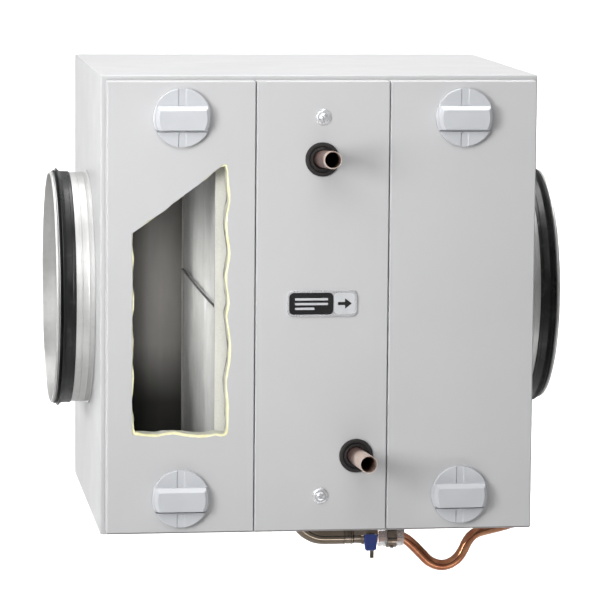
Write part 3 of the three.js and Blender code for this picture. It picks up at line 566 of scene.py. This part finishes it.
# ---------------------------------------------------------------- casing
SHEET = 1.0
FLANGE = 20.0
DUCT = middle("spigot_left")
DUCT_FLANGE = 2.2
DUCT_RADIUS = (span("spigot_left")[2][1] - span("spigot_left")[2][0]) / 2 - DUCT_FLANGE
DRAIN_X, DRAIN_Y = span("drain_elbow")[0][0] + 9, middle("drain_elbow").y


def corner_slits(across, depth, up, half, relief):
    """A slit at each corner of a folded sheet, with a round relief of (radius, y, reach) at its end."""
    radius, y, reach = relief
    cutters = []
    for x in across:
        for z in up:
            cutters.append(block("slit", (x - half[0], x + half[0]), depth, (z - half[1], z + half[1])))
            cutters.append(rod("relief", radius, -reach, reach, "front", (x, y, z), 16))
    return cutters


def casing():
    """The bent outer sheet with its front flange, and the rivets that hold the back."""
    skin = block("casing_shell", (-HALF, HALF), (0, DEPTH), (0, HEIGHT), 1.5, 4)
    inside = (SHEET - HALF, HALF - SHEET), (SHEET, DEPTH + 5), (SHEET, HEIGHT - SHEET)
    inner = block("inner", *inside, 0.6, 2)
    front = block("front", (FLANGE - HALF, HALF - FLANGE), (-5, 5), (FLANGE, HEIGHT - FLANGE))
    ducts = rod("ducts", DUCT_RADIUS + 1, -300, 300, "right", (0, DUCT.y, DUCT.z), 128)
    drain = rod("drain", 9.8, -10, 30, "up", (DRAIN_X, DRAIN_Y, 0), 32)
    slits = corner_slits((-HALF, HALF), (2.2, DEPTH + 1), (0, HEIGHT), (0.35, 1.6), (1.0, 0, 2))
    cut(skin, inner, front, ducts, drain, *slits)
    settle(skin, "casing", "paint", "casing_skin")

    rivets = None
    for x in (-HALF + 9, HALF - 9):
        for i in range(5):
            profile = [(0, 0.9), (1.2, 0.8), (2.2, 0.4), (2.6, -0.2), (0, -0.2)]
            dome = lathe("dome", profile, "back", (x, DEPTH, 30 + i * (HEIGHT - 60) / 4), 20)
            rivets = join(rivets, dome) if rivets else dome
    rivets.name = "back_rivets"
    settle(rivets, "casing", "screw_steel", slot="screw_steel")


# ---------------------------------------------------------------- panels
PANEL_FRONT, PANEL_BACK = span("left_door_skin")[1]
KNOBS = ("knob_upper_left", "knob_lower_left", "knob_upper_right", "knob_lower_right")
KNOB_AT = {node: middle(node) for node in KNOBS}

# The cutaway's edge, from its lower right corner up the right side, down the slope and back along
# the bottom, and how finely it is drawn.
CUTAWAY_STEP = 2.2
CUTAWAY = [
    (-98.5, 107.5), (-96.9, 114), (-96.6, 124), (-96.5, 138), (-97.7, 152), (-98.6, 163), (-95.5, 181),
    (-94.2, 196), (-95, 208), (-97, 222), (-98.2, 233), (-96, 245), (-98.6, 264), (-98.3, 277), (-95.6, 297),
    (-98.6, 321), (-98.4, 337), (-96, 353), (-97.4, 371), (-98.8, 384), (-101, 389.4), (-106.5, 386.4),
    (-119.6, 376), (-129, 367.8), (-138, 361.4), (-152.5, 351), (-163.5, 341.8), (-171, 336.6), (-180, 331.2),
    (-188, 324.6), (-195.2, 319.4), (-197, 316), (-197.3, 290), (-196.8, 260), (-197.2, 225), (-196.8, 190),
    (-197.2, 155), (-196.9, 122), (-196.4, 110), (-190, 107.8), (-173, 106.2), (-163, 107.8), (-152.5, 108.4),
    (-141, 106.2), (-129, 104.9), (-118, 105.2), (-110, 106.8), (-104, 105.6),
]


def cutaway(inset, rough, pitch, seed, y=0.0):
    """The cutaway's edge drawn finely, moved inwards and torn by noise of a given size and pitch.

    The inset is a number, or a function of a place on the edge.
    """
    ring = [Vector((x, z)) for x, z in CUTAWAY]
    fine = []
    for i in range(len(ring)):
        a, b, c, d = (ring[(i + k - 1) % len(ring)] for k in range(4))
        steps = max(2, round((c - b).length / CUTAWAY_STEP))
        fine += [between(a, b, c, d, step / steps) for step in range(steps)]
    result = []
    for i, p in enumerate(fine):
        ahead = (fine[(i + 1) % len(fine)] - fine[i - 1]).normalized()
        inward = Vector((-ahead.y, ahead.x))
        tear = rough * noise.noise(Vector((p.x / pitch, p.y / pitch, seed + y / pitch)))
        result.append(tuple(p + inward * ((inset(p) if callable(inset) else inset) + tear)))
    return result


def foam_inset(place):
    """How far the foam stands out past the sheet's edge: in waves on the left, hardly up the slope."""
    x, z = place
    if x > -104:
        return 1.6
    if z > 312:
        return 0.5
    if z < 114:
        return 2.2
    return 1.1 + 0.8 * math.sin(2 * math.pi * z / 42 + 2.2)


def lining_inset(place):
    """The inner sheet shows along the right side of the cutaway only."""
    x, z = place
    shown = max(0, min(1, (z - 112) / 14, (376 - z) / 14)) if x > -104 else 0
    return 3.2 * shown - 1


def cutaway_plug(name, layers):
    """A closed body through the door, lofted through (y, outline) layers."""
    count = len(layers[0][1])
    points = [(x, y, z) for y, outline in layers for x, z in outline]
    faces = [tuple(range(count)), tuple(range((len(layers) - 1) * count, len(layers) * count))]
    for layer in range(len(layers) - 1):
        faces += band(layer * count, (layer + 1) * count, count)
    return shape(name, points, faces)


def panel(name, body, holes, window=False):
    """A folded front sheet, its foam core and its flat inner sheet, drilled for what passes through."""
    (left, right), (front, back), (low, high) = span(name + "_skin")

    def drills():
        return [rod("drill", r, -20, 60, "front", (x, 0, z), 48) for x, z, r in holes]

    skin = block(name + "_face", (left, right), (front, back + 4), (low, high), 1.3, 4)
    inside = (left + SHEET, right - SHEET), (front + SHEET, back + 9), (low + SHEET, high - SHEET)
    hollow = block("hollow", *inside, 0.5, 2)
    trim = block("trim", (left - 5, right + 5), (back, back + 9), (low - 5, high + 5))
    slits = corner_slits((left, right), (front + 2, back + 2), (low, high), (0.3, 1.5), (0.9, front, 3))
    cut(skin, hollow, trim, *slits, *drills())
    if window:
        outline = cutaway(0, 0.35, 5, 1.0)
        cut(skin, cutaway_plug("plug", [(front - 5, outline), (back + 5, outline)]))
    settle(skin, body, "front_paint", name + "_skin", slot="paint")

    core_box = span(name + "_foam")
    core = block(name + "_core", *core_box)
    cut(core, *drills())
    if window:
        layers = []
        y0, y1 = core_box[1]
        for i in range(8):
            y = y0 - 1 + (y1 - y0 + 2) * i / 7
            bulge = 0.5 * math.sin(math.pi * i / 7)
            layers.append((y, cutaway(lambda p: foam_inset(p) + bulge, 1.4, 13, 4.0, y * 1.5)))
        cut(core, cutaway_plug("plug", layers))
    settle(core, body, "foam", name + "_foam")

    sheet = block(name + "_lining", *span(name + "_inner_skin"))
    cut(sheet, *drills())
    if window:
        outline = cutaway(lining_inset, 0.4, 9, 7.0)
        cut(sheet, cutaway_plug("plug", [(back - 5, outline), (back + 5, outline)]))
    settle(sheet, body, "liner_sheet", name + "_inner_skin")


def panels():
    """Two doors, drilled for their knobs, and the middle panel, drilled for its pipes and screws."""
    for side in ("left", "right"):
        holes = [(KNOB_AT[n].x, KNOB_AT[n].z, 7.7) for n in KNOB_AT if n.endswith(side)]
        panel(side + "_door", side + "_door", holes, side == "left")
    holes = [(middle(n).x, middle(n).z, 15) for n in ("grommet_upper", "grommet_lower")]
    holes += [(middle(n).x, middle(n).z, 3) for n in ("panel_screw_upper", "panel_screw_lower")]
    panel("centre_panel", "casing", holes)


# ---------------------------------------------------------------- knobs
KNOB_RADIUS = 30.0


def knob_shape():
    """One knob about the origin, with the door's face at Y = 0."""
    r = KNOB_RADIUS
    edge = rounded([(r, 0.3), (r, 7), (0, 7), (0, 0.3)], 0.9)[:10]
    disc = lathe("knob", [(0, 0.3), *edge, (0, 7)], "front", (0, 0, 0), 160)
    grip = rounded([(0, 3), (r - 0.5, 3), (r - 1, 8), (r - 2.2, 13.2), (r - 5.4, 16), (0, 16)], 0.5)[5:-5]
    grip = lathe("grip", [(0, 3), *grip, (0, 16)], "front", (0, 0, 0), 160)
    section = rounded([(0, -12.2), (-16, -12.2), (-16, 7.9), (-11.6, 12.2), (0, 12.2)], 0.45, 3)
    body = join(disc, common(grip, prism("bar", section, "x", -40, 40)))
    half, wide, floor, face = 3.2, 4.5, -5.8, -7.02
    outline = [(-wide, face), (-half, floor), (half, floor), (wide, face)]
    upper = prism("upper", outline, "z", 12.1, 40)
    lower = prism("lower", outline, "z", -40, -18.4)
    arch = [(0, -floor), (half, -floor), (wide, -face), (0, -face)]
    arch = lathe("arch", arch, "front", (0, 0, -18.4), 48)
    parting = block("parting", (-r + 3.4, r - 3.4), (-9, -2.6), (-14.8, -13))
    cut(body, upper, lower, arch, parting)
    soften(body, 0.25, 2, 40)
    spindle = [(0, 37), (4.1, 37), (4.5, 36.4), (4.5, 25.5), (6.4, 25.5), (7, 24.8), (7, -1), (0, -1)]
    spindle = lathe("spindle", spindle, "back", (0, 0, 0), 48)
    lug = [(0, -7.2), (1.7, -7.2), (2, -6.9), (2, 6.9), (1.7, 7.2), (0, 7.2)]
    return weld(join(body, spindle, lathe("lug", lug, "right", (0, 33, 0), 20)))


def knobs():
    made = knob_shape()
    for node, place in KNOB_AT.items():
        piece = copied(made, node.replace("knob_", "knob_turned_"), (place.x, PANEL_FRONT, place.z))
        settle(piece, node, "knob_plastic", node)
    bpy.data.objects.remove(made)


# ---------------------------------------------------------------- centre panel fittings
def screws():
    """The cross-head screws that hold the middle panel, each on a dished washer."""
    for level in ("upper", "lower"):
        place = (0, PANEL_FRONT, middle("panel_screw_" + level).z)
        dish = [(3.1, 0.3), (8.5, 0.3), (8.5, 0.9), (6.9, 2.2), (5.7, 2.3), (3.1, 1.3)]
        washer = lathe("washer_" + level, rounded(dish, 0.5, 3), "front", place, 64)
        settle(washer, "casing", "washer_zinc", "panel_washer_" + level, slot="zinc")
        head = [(0, 5.4), (2.6, 5.3), (4.2, 4.6), (4.9, 3.5), (4.9, 2.7)]
        shank = [(2.6, 2.7), (2.6, -27.4), (2.1, -28), (0, -28)]
        screw = lathe("screw_" + level, head + shank, "front", place, 48)
        x, y, z = place
        turn = Matrix.Translation(spot(x, y, z)) @ Matrix.Rotation(math.radians(24), 4, "Y")
        turn = turn @ Matrix.Translation(-spot(x, y, z))
        recesses = [
            block("slot", (x - 2.9, x + 2.9), (y - 6, y - 3.4), (z - 0.55, z + 0.55)),
            block("slot", (x - 0.55, x + 0.55), (y - 6, y - 3.4), (z - 2.9, z + 2.9)),
        ]
        for recess in recesses:
            recess.data.transform(turn)
        cut(screw, *recesses)
        soften(screw, 0.15, 2)
        settle(screw, "casing", "screw_steel", "panel_screw_" + level)


def pipes():
    """The two water pipes, tilted as their CAD nodes are, in rubber seal rings."""
    for level in ("upper", "lower"):
        corners = [v.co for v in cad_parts["pipe_" + level].data.vertices]
        ends = []
        for want in (min, max):
            limit = want(c.y for c in corners)
            near = [c for c in corners if abs(c.y - limit) < 2.5 * MM]
            ends.append((sum(near, Vector()) / len(near) - CASING) / MM)
        ahead = (ends[0] - ends[1]).normalized()
        side = Vector((1, 0, 0))
        side = (side - ahead * side.dot(ahead)).normalized()
        axes = (ahead, side, ahead.cross(side))
        length = (ends[0] - ends[1]).length
        profile = [(9, 0), (9, length - 0.5), (8.75, length), (8.2, length), (8, length - 0.3), (8, 0)]
        tube_piece = lathe("water_pipe_" + level, profile, axes, ends[1], 64)
        settle(tube_piece, "casing", "pipe_copper_" + level, "pipe_" + level, slot="copper")

        place = middle("grommet_" + level)
        neck, back = 14.7, PANEL_BACK - PANEL_FRONT
        ring = [
            (9.5, -back - 3), (neck + 2.2, -back - 3), (neck + 2.2, -back - 0.3), (neck, -back - 0.3),
            (neck, 0.3), (17.7, 0.3), (17.7, 2.6), (16.6, 4), (13.8, 4), (13, 2.2), (12, 2.2), (11.4, 3.4),
            (9.5, 3.1),
        ]
        centre = (place.x, PANEL_FRONT, place.z)
        grommet = lathe("seal_ring_" + level, rounded(ring, 0.6, 3), "front", centre, 96)
        bore = rod("bore", 9.6, -30, 200, axes, ends[1], 64)
        cut(grommet, bore)
        settle(grommet, "casing", "grey_rubber", "grommet_" + level, slot="rubber")


def plate(name, x, z, y, radius, steps=6):
    """A flat piece with rounded corners, between two places on each axis."""
    corners = [(x[0], z[0]), (x[1], z[0]), (x[1], z[1]), (x[0], z[1])]
    return prism(name, rounded(corners, radius, steps), "y", *y)


def badge():
    """A silver rim round a black panel with plain bars and a pale panel with an airflow arrow."""
    z = middle("badge").z
    back, front = PANEL_FRONT - 0.3, PANEL_FRONT - 2.4
    panel_y, print_y = (front + 0.35, front + 0.95), (front + 0.1, front + 0.36)
    rim = plate("badge_rim", (-36.5, 36.5), (z - 13.5, z + 13.5), (front, back), 7)
    cut(rim, plate("well", (-34.4, 34.4), (z - 11.4, z + 11.4), (front - 2, front + 1), 5.5))
    soften(rim, 0.35, 2)
    settle(rim, "casing", "screw_steel", "badge", slot="badge_plate")
    dark = plate("badge_black", (-34.2, 11.6), (z - 11.2, z + 11.2), panel_y, 5)
    settle(dark, "casing", "badge_dark", slot="badge_plate")
    pale = plate("badge_pale", (12.6, 34.2), (z - 11.2, z + 11.2), panel_y, 5)
    settle(pale, "casing", "badge_light", slot="badge_plate")
    for i, (end, height) in enumerate([(6, 4.6), (6, -0.3), (-8, -5.2)]):
        middle_z = z + height
        bar = plate(f"badge_bar_{i + 1}", (-28.5, end), (middle_z - 1.2, middle_z + 1.2), print_y, 1, 4)
        settle(bar, "casing", "badge_light", slot="badge_plate")
    x = 23.4
    arrow = [(-7, -1.6), (0.5, -1.6), (0.5, -5.4), (7.4, 0), (0.5, 5.4), (0.5, 1.6), (-7, 1.6)]
    arrow = prism("badge_arrow", rounded([(x + u, z + v) for u, v in arrow], 0.7, 3), "y", *print_y)
    settle(arrow, "casing", "badge_dark", slot="badge_plate")


# ---------------------------------------------------------------- filter
CREASES = [(129, 2.4), (184, 1.2), (239, 3)]  # (place back from the front, depth)


def filter_pad():
    """Two quilted faces that sag between the frame and the wire, closed at their edges."""
    (x0, x1), (y0, y1), (z0, z1) = span("filter_fleece")
    across, up = 70, 90
    points, faces = [], []
    for x, sign in ((x0, 1), (x1, -1)):
        for j in range(up + 1):
            for i in range(across + 1):
                u, v = i / across, j / up
                y, z = y0 + (y1 - y0) * u, z0 + (z1 - z0) * v
                edge = min(1, 14 * min(u, 1 - u, v, 1 - v))
                folds = 1.6 * noise.noise(Vector((y / 38, z / 120, x)))
                folds += 0.8 * noise.noise(Vector((y / 9, z / 46, x + 5)))
                wire = math.exp(-(((z - DUCT.z) / 9) ** 2))
                below = math.exp(-(((z - DUCT.z + 26) / 20) ** 2))
                crease = sum(deep * math.exp(-(((y - at) / 3) ** 2)) for at, deep in CREASES)
                dip = edge * (1.9 + folds + 1.5 * wire + below * crease)
                sag = 5 * (0.5 + noise.noise(Vector((z / 17, 3, x)))) * u**10
                points.append((x + sign * max(0.0, dip), y - max(0.0, sag), z))
    side = (across + 1) * (up + 1)
    for j in range(up):
        for i in range(across):
            a = j * (across + 1) + i
            b, c, d = a + 1, a + across + 2, a + across + 1
            faces += [(a, b, c, d), (side + a, side + d, side + c, side + b)]
    border = list(range(across + 1))
    border += [j * (across + 1) + across for j in range(1, up + 1)]
    border += [up * (across + 1) + i for i in range(across - 1, -1, -1)]
    border += [j * (across + 1) for j in range(up - 1, 0, -1)]
    for a, b in zip(border, border[1:] + border[:1]):
        faces.append((a, b, side + b, side + a))
    pad = shape("fleece_pad", points, faces)
    settle(pad, "filter", "fleece", "filter_fleece", angle=60)

    (x0, x1), (y0, y1), (z0, z1) = span("filter_wire")
    x, z, radius = (x0 + x1) / 2, (z0 + z1) / 2, (z1 - z0) / 2
    stops = [(x, y0 + (y1 - y0) * i / 8, z - 1.2 * math.sin(math.pi * i / 8)) for i in range(9)]
    # The stay is drawn 1.35 times the wire's thickness, so that the dark wire also covers the shadow band
    # along it: painted shadow.
    wire = tube("filter_stay", curve_through(stops, 6), radius * 1.35, 16)
    settle(wire, "filter", "dark_wire", "filter_wire")


# ---------------------------------------------------------------- duct spigots
def spigots():
    """A beaded steel spigot on each side, with its double-lip seal."""
    r = DUCT_RADIUS
    inner = r - 1.2
    root, end = span("spigot_right")[0]
    side_face = HALF + 0.3
    steel = [
        (r, root), (r, side_face), (r + DUCT_FLANGE, side_face), (r + DUCT_FLANGE, side_face + 0.9),
        (r + 1.8, side_face + 1.3), (r, side_face + 1.3), (r, 232.6), (r + 0.4, 233.2), (r + 0.6, 234),
        (r + 0.4, 234.8), (r, 235.4), (r, 240.6), (r + 0.35, 241), (r + 0.35, 241.9), (r, 242.3),
        (r, 265.6), (r + 0.9, 266), (r + 1.4, 266.9), (r + 1.2, end - 0.6), (r + 0.5, end),
        (inner + 0.3, end), (inner, end - 0.7), (inner, 241.9), (inner - 0.3, 241.5), (inner, 241.1),
        (inner, root),
    ]
    lips = [
        (0.3, 248), (0.9, 248), (1.2, 248.4), (1.2, 251), (0.9, 251.5), (1.2, 252), (1.2, 257.2),
        (2, 258.6), (4.2, 260.6), (4.7, 261.3), (4.3, 261.8), (2.2, 261.3), (1.3, 262), (2.2, 263.7),
        (2.5, 264.6), (2.1, 265), (0.3, 264.8),
    ]
    lips = [(r + height, along) for height, along in lips]
    for side in ("left", "right"):
        place = (0, DUCT.y, DUCT.z)
        piece = lathe("duct_spigot_" + side, steel, side, place, 160)
        settle(piece, "casing", "galvanised", "spigot_" + side)
        piece = lathe("lip_seal_" + side, lips, side, place, 160)
        settle(piece, "casing", "rubber", "spigot_seal_" + side)


# ---------------------------------------------------------------- condensate drain
VALVE = Vector((middle("lever_grip").x, DRAIN_Y, middle("valve_ball").z))
HOSE = middle("trap_hose")

TRAP_ROUTE = [
    (94.6, 186, -43.2), (110, 186, -43.2), (118.4, 186, -43.8), (126.6, 186, -47.6), (135, 186, -55),
    (143, 186, -63.2), (151, 186, -71.2), (159.4, 186, -75.6), (167.8, 186, -76.8), (176.4, 186, -74.4),
    (184.2, 186, -68.6), (189.6, 186, -60.6), (193.4, 186, -52.6), (198.6, 186.6, -45.4), (206, 189, -41.2),
    (217, 196, -39.8), (240, 217, -39.4), (262, 241, -39.2),
]


def drain():
    """From left to right: elbow, union nut, valve with its handle, trap and the hose over its start."""
    bend, end = 32.0, 55.0
    path = [(DRAIN_X, DRAIN_Y, 22.6), (DRAIN_X, DRAIN_Y, 6), (DRAIN_X, DRAIN_Y, VALVE.z + bend + 2)]
    for i in range(17):
        angle = math.pi / 2 * i / 16
        along, down = bend * (1 - math.cos(angle)), bend * (1 - math.sin(angle))
        path.append((DRAIN_X + along, DRAIN_Y, VALVE.z + down))
    path += [(42, DRAIN_Y, VALVE.z), (50, DRAIN_Y, VALVE.z), (end, DRAIN_Y, VALVE.z)]
    settle(tube("elbow", path, 9, 48, 7.5), "casing", "elbow_steel", "drain_elbow", slot="plated_steel")

    axis = (0, DRAIN_Y, VALVE.z)
    nut = [
        (6, 55.4), (9.0, 55.4), (9.3, 55.7), (9.3, 56.4), (8.6, 56.8), (8.6, 58.2), (8.8, 58.5), (8.8, 61.6),
        (8.6, 61.9), (8.6, 63.4), (9.3, 63.8), (9.3, 65.2), (9.0, 65.6), (6, 65.6),
    ]
    settle(lathe("union_nut", nut, "right", axis, 64), "casing", "plated_steel", "drain_nut")

    x = VALVE.x
    profile = [
        (4.6, 66), (7.9, 66), (8.3, 66.4), (8.3, 73.4), (8.6, 74.6), (9.9, 76.4), (9.9, x + 5.4),
        (9.4, x + 6.4), (7.2, x + 7), (7, x + 7.4), (7, x + 9.6), (6.6, x + 10), (4.6, x + 10),
    ]
    body = lathe("valve_casting", profile, "right", axis, 64)
    y = -DRAIN_Y
    neck = [(3.1, y + 2), (3.1, y + 12), (5.0, y + 12), (5.4, y + 11.6), (5.4, y + 2)]
    neck = lathe("neck", neck, "front", (x, 0, VALVE.z), 40)
    stub = [
        (0, -25.4), (1.9, -25.4), (2.3, -25), (2.3, -13.4), (2.9, -13), (2.9, -11.6), (2.3, -11.2),
        (2.3, -8), (0, -8),
    ]
    stub = lathe("stub", stub, "up", (x + 4, DRAIN_Y, VALVE.z), 32)
    settle(join(body, neck, stub), "casing", "plated_steel", "valve_body")

    lever_y = middle("valve_lever").y + 0.9
    outline = rounded([(-4.6, 5.8), (4.6, 5.8), (4.6, -4), (4, -11.6), (-4, -11.6), (-4.6, -4)], 1.6, 4)
    blade = prism("lever_blade", outline, "y", -0.8, 0.8)
    blade.data.transform(Matrix.Translation(Vector((x, lever_y, VALVE.z)) * MM))
    stem_nut = [(0, 0.6), (4.5, 0.6), (4.5, 2.2), (4.0, 2.6), (0, 2.6)]
    join(blade, lathe("stem_nut", stem_nut, "front", (x, lever_y, VALVE.z), 6))
    settle(soften(blade, 0.25, 2), "valve_handle", "plated_steel", "valve_lever")

    front, back = span("lever_grip")[1]
    z = VALVE.z
    outline = [
        (-7.2, 4.4), (7.2, 4.4), (7.1, -4), (6.3, -12.4), (4.4, -13.8), (-4.4, -13.8), (-6.3, -12.4),
        (-7.1, -4),
    ]
    grip = prism("blue_grip", rounded([(x + u, z + v) for u, v in outline], 1.6, 4), "y", front, back)
    soften(grip, 1.3, 4)
    ribs = []
    for u in (-2.7, 2.7):
        top, foot = x + u, x + u * 0.9
        rib = [(top - 0.9, z + 2.6), (top + 0.9, z + 2.6), (foot + 0.8, z - 11.6), (foot - 0.8, z - 11.6)]
        ribs.append(prism("rib", rounded(rib, 0.6, 2), "y", front - 1, front + 0.5))
    slot_box = block("slot", (x - 5, x + 5), (lever_y - 1.1, lever_y + 1.1), (z - 12, z + 10))
    back_hole = rod("hole", 5.2, -10, 0, "front", (x, lever_y, z), 40)
    settle(cut(grip, *ribs, slot_box, back_hole), "valve_handle", "blue_grip", "lever_grip")

    trap = tube("trap_tube", curve_through(TRAP_ROUTE, 10), 6, 48)
    mouth_end = Vector(TRAP_ROUTE[-1])
    outward = (mouth_end - Vector(TRAP_ROUTE[-2])).normalized()
    cut(trap, tube("mouth", [mouth_end - outward * 16, mouth_end + outward * 6], 5, 32))
    settle(trap, "casing", "copper", "drain_trap")

    low, high = span("trap_hose")[0]
    hose = [(8.4, low), (9.3, low), (9.4, low + 0.3), (9.4, high - 0.3), (9.3, high), (8.4, high)]
    settle(lathe("clear_hose", hose, "right", (0, HOSE.y, HOSE.z), 64), "casing", "clear_hose", "trap_hose")


def clamp():
    """The hose clamp's band with its screw ear, and the strap that hangs it."""
    profile = [
        (9.7, 103.4), (10.1, 103.4), (10.5, 103.7), (10.5, 106), (10.2, 106.4), (10.2, 107.2), (10.5, 107.6),
        (10.5, 113.9), (10.1, 114.2), (9.7, 114.2),
    ]
    ring = lathe("hose_clamp", profile, "right", (0, HOSE.y, HOSE.z), 96)
    ear = block("clamp_ear", (107, 110.6), (HOSE.y - 8, HOSE.y - 4.4), (HOSE.z - 10.4, HOSE.z - 8.6), 0.4, 2)
    settle(ring, "casing", "plated_steel", "trap_clamp")
    settle(ear, "casing", "screw_steel", slot="plated_steel")
    (_, high_x), (_, high_y), (_, top) = span("trap_clamp")
    low_x, low_y = high_x - 13.6, high_y - 24
    low, thick = HOSE.z - 2, 2
    outline = [
        (low_y, low), (low_y + thick, low), (low_y + thick, top - thick), (high_y, top - thick),
        (high_y, top), (low_y, top),
    ]
    strap = prism("trap_stay", rounded(outline, 0.9, 3), "x", low_x, high_x)
    settle(soften(strap, 0.3, 2), "casing", "zinc", "trap_clamp", slot="plated_steel")


# ---------------------------------------------------------------- carried-over CAD nodes
KEPT = {
    "paint": "back_skin",
    "foam": "casing_foam",
    "chamber_sheet": "casing_liner",
    "rubber": "left_gasket centre_gasket right_gasket",
    "filter_card": "filter_frame",
    "fins": "coil_fins",
    "copper": "coil_tubes",
    "tray_plastic": "condensate_tray",
    "plated_steel": "valve_ball",
    "zinc": """mullion_left mullion_right filter_rail_lower filter_rail_upper coil_plate_front
        coil_plate_back wall_rail_upper wall_rail_lower latch_socket_upper_left
        latch_socket_upper_right latch_socket_lower_left latch_socket_lower_right""",
}


def carried_over():
    """The CAD nodes that are shown as they are, with a finish and slightly rounded edges."""
    for name, finish in [(name, finish) for finish, names in KEPT.items() for name in names.split()]:
        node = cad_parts[name]
        node.data.materials.clear()
        node.data.materials.append(FINISHES[finish])
        weld = node.modifiers.new("weld", "WELD")
        weld.merge_threshold = 0.00001
        bevel = node.modifiers.new("edges", "BEVEL")
        bevel.width = 0.0003
        bevel.segments = 2
        bevel.limit_method = "ANGLE"
        bevel.angle_limit = math.radians(40)


# ---------------------------------------------------------------- stage, light and camera
def stage():
    """A pale floor, well below the unit."""
    reach = 80.0
    height = -1.6
    corners = [(-reach, -reach), (reach, -reach), (reach, reach), (-reach, reach)]
    mesh = bpy.data.meshes.new("floor")
    mesh.from_pydata([(x, y, height) for x, y in corners], [], [(0, 1, 2, 3)])
    linked("floor", mesh)
    f = Finish("floor")
    pale = f.ramp(f.noise(2, 3), (0.3, (232, 232, 232)), (0.7, (236, 236, 236)))
    mesh.materials.append(f.finish(pale, f.spread(f.noise(5, 3), 0.8, 0.9)))


# Each lamp's name, place, target, size in metres and power in watts.
LAMPS = [
    ("key", (-0.86, -1.45, 0.06), (0, -0.41, -0.19), (0.55, 0.55), 3.25),
    ("front_top", (-0.3, -1.3, 0.55), (0, -0.41, 0.05), (0.9, 0.5), 1.6),
    ("left_fill", (-3.0, 0.1, 0.9), (0, 0, -0.1), (1.6, 1.6), 10.5),
    ("overhead", (0.25, -0.7, 2.2), (0, -0.3, -0.2), (0.9, 0.45), 1.6),
    ("top_fill", (0, 0.3, 2.0), (0, -0.1, 0), (2.0, 1.6), 15),
    ("low_front", (0.1, -1.0, -1.15), (0, -0.25, -0.45), (1.8, 0.1), 0.7),
]
WORLD_LEVEL = 0.225
WORLD_SLOPE = (-0.14, 0.14, 0.22)


def light(name, place, target, size, power, spread=90):
    lamp = bpy.data.lights.new(name, "AREA")
    lamp.shape = "RECTANGLE"
    lamp.size, lamp.size_y = size
    lamp.energy = power
    lamp.spread = math.radians(spread)
    made = linked(name, lamp)
    made.location = place
    made.rotation_mode = "QUATERNION"
    made.rotation_quaternion = (Vector(target) - Vector(place)).to_track_quat("-Z", "Y")
    made.visible_camera = False


def studio():
    """A pale world, brighter above, behind and on the left, and the lamps."""
    world = bpy.data.worlds.new("studio")
    bpy.context.scene.world = world
    world.use_nodes = True
    tree = world.node_tree
    background = tree.nodes["Background"]
    slope = tree.nodes.new("ShaderNodeVectorMath")
    slope.operation = "DOT_PRODUCT"
    tree.links.new(tree.nodes.new("ShaderNodeTexCoord").outputs["Generated"], slope.inputs[0])
    slope.inputs[1].default_value = WORLD_SLOPE
    level = tree.nodes.new("ShaderNodeMath")
    tree.links.new(slope.outputs["Value"], level.inputs[0])
    level.inputs[1].default_value = WORLD_LEVEL
    tree.links.new(level.outputs[0], background.inputs["Strength"])
    background.inputs["Color"].default_value = (1, 1, 1, 1)
    for lamp in LAMPS:
        light(*lamp)
    # A small lamp at the left spigot's mouth lights the filter, and a wide one the floor far behind.
    mouth = spot(-HALF - 62, DUCT.y, DUCT.z)
    light("duct", mouth, mouth + Vector((1, 0, 0)), (0.12, 0.12), 0.05, 60)
    light("background", (0, 24.5, 5), (0, 24.5, 0), (60, 43), 15000, 40)


CAMERA_AT = (-0.5124, -4.0436, 0.2821)
CAMERA_ANGLES = (-7.673, 7.220, 0.459)  # azimuth, elevation and roll in degrees
LENS = 214.4


def camera():
    """In front, a little to the left and above, with a long lens."""
    azimuth, elevation, roll = (math.radians(a) for a in CAMERA_ANGLES)
    flat = math.cos(elevation)
    back = Vector((math.sin(azimuth) * flat, -math.cos(azimuth) * flat, math.sin(elevation)))
    level = Vector((0, 0, 1)).cross(back).normalized()
    upright = back.cross(level)
    right = level * math.cos(roll) + upright * math.sin(roll)
    up = upright * math.cos(roll) - level * math.sin(roll)
    data = bpy.data.cameras.new("camera")
    data.sensor_width = 36
    data.lens = LENS
    data.clip_end = 200
    made = linked("camera", data)
    turn = Matrix((right, up, back)).transposed().to_4x4()
    made.matrix_world = Matrix.Translation(CAMERA_AT) @ turn
    bpy.context.scene.camera = made


casing()
panels()
knobs()
screws()
pipes()
badge()
filter_pad()
spigots()
drain()
clamp()
carried_over()
stage()
studio()
camera()
bpy.context.scene.view_settings.view_transform = "Standard"

bpy.context.view_layer.update()
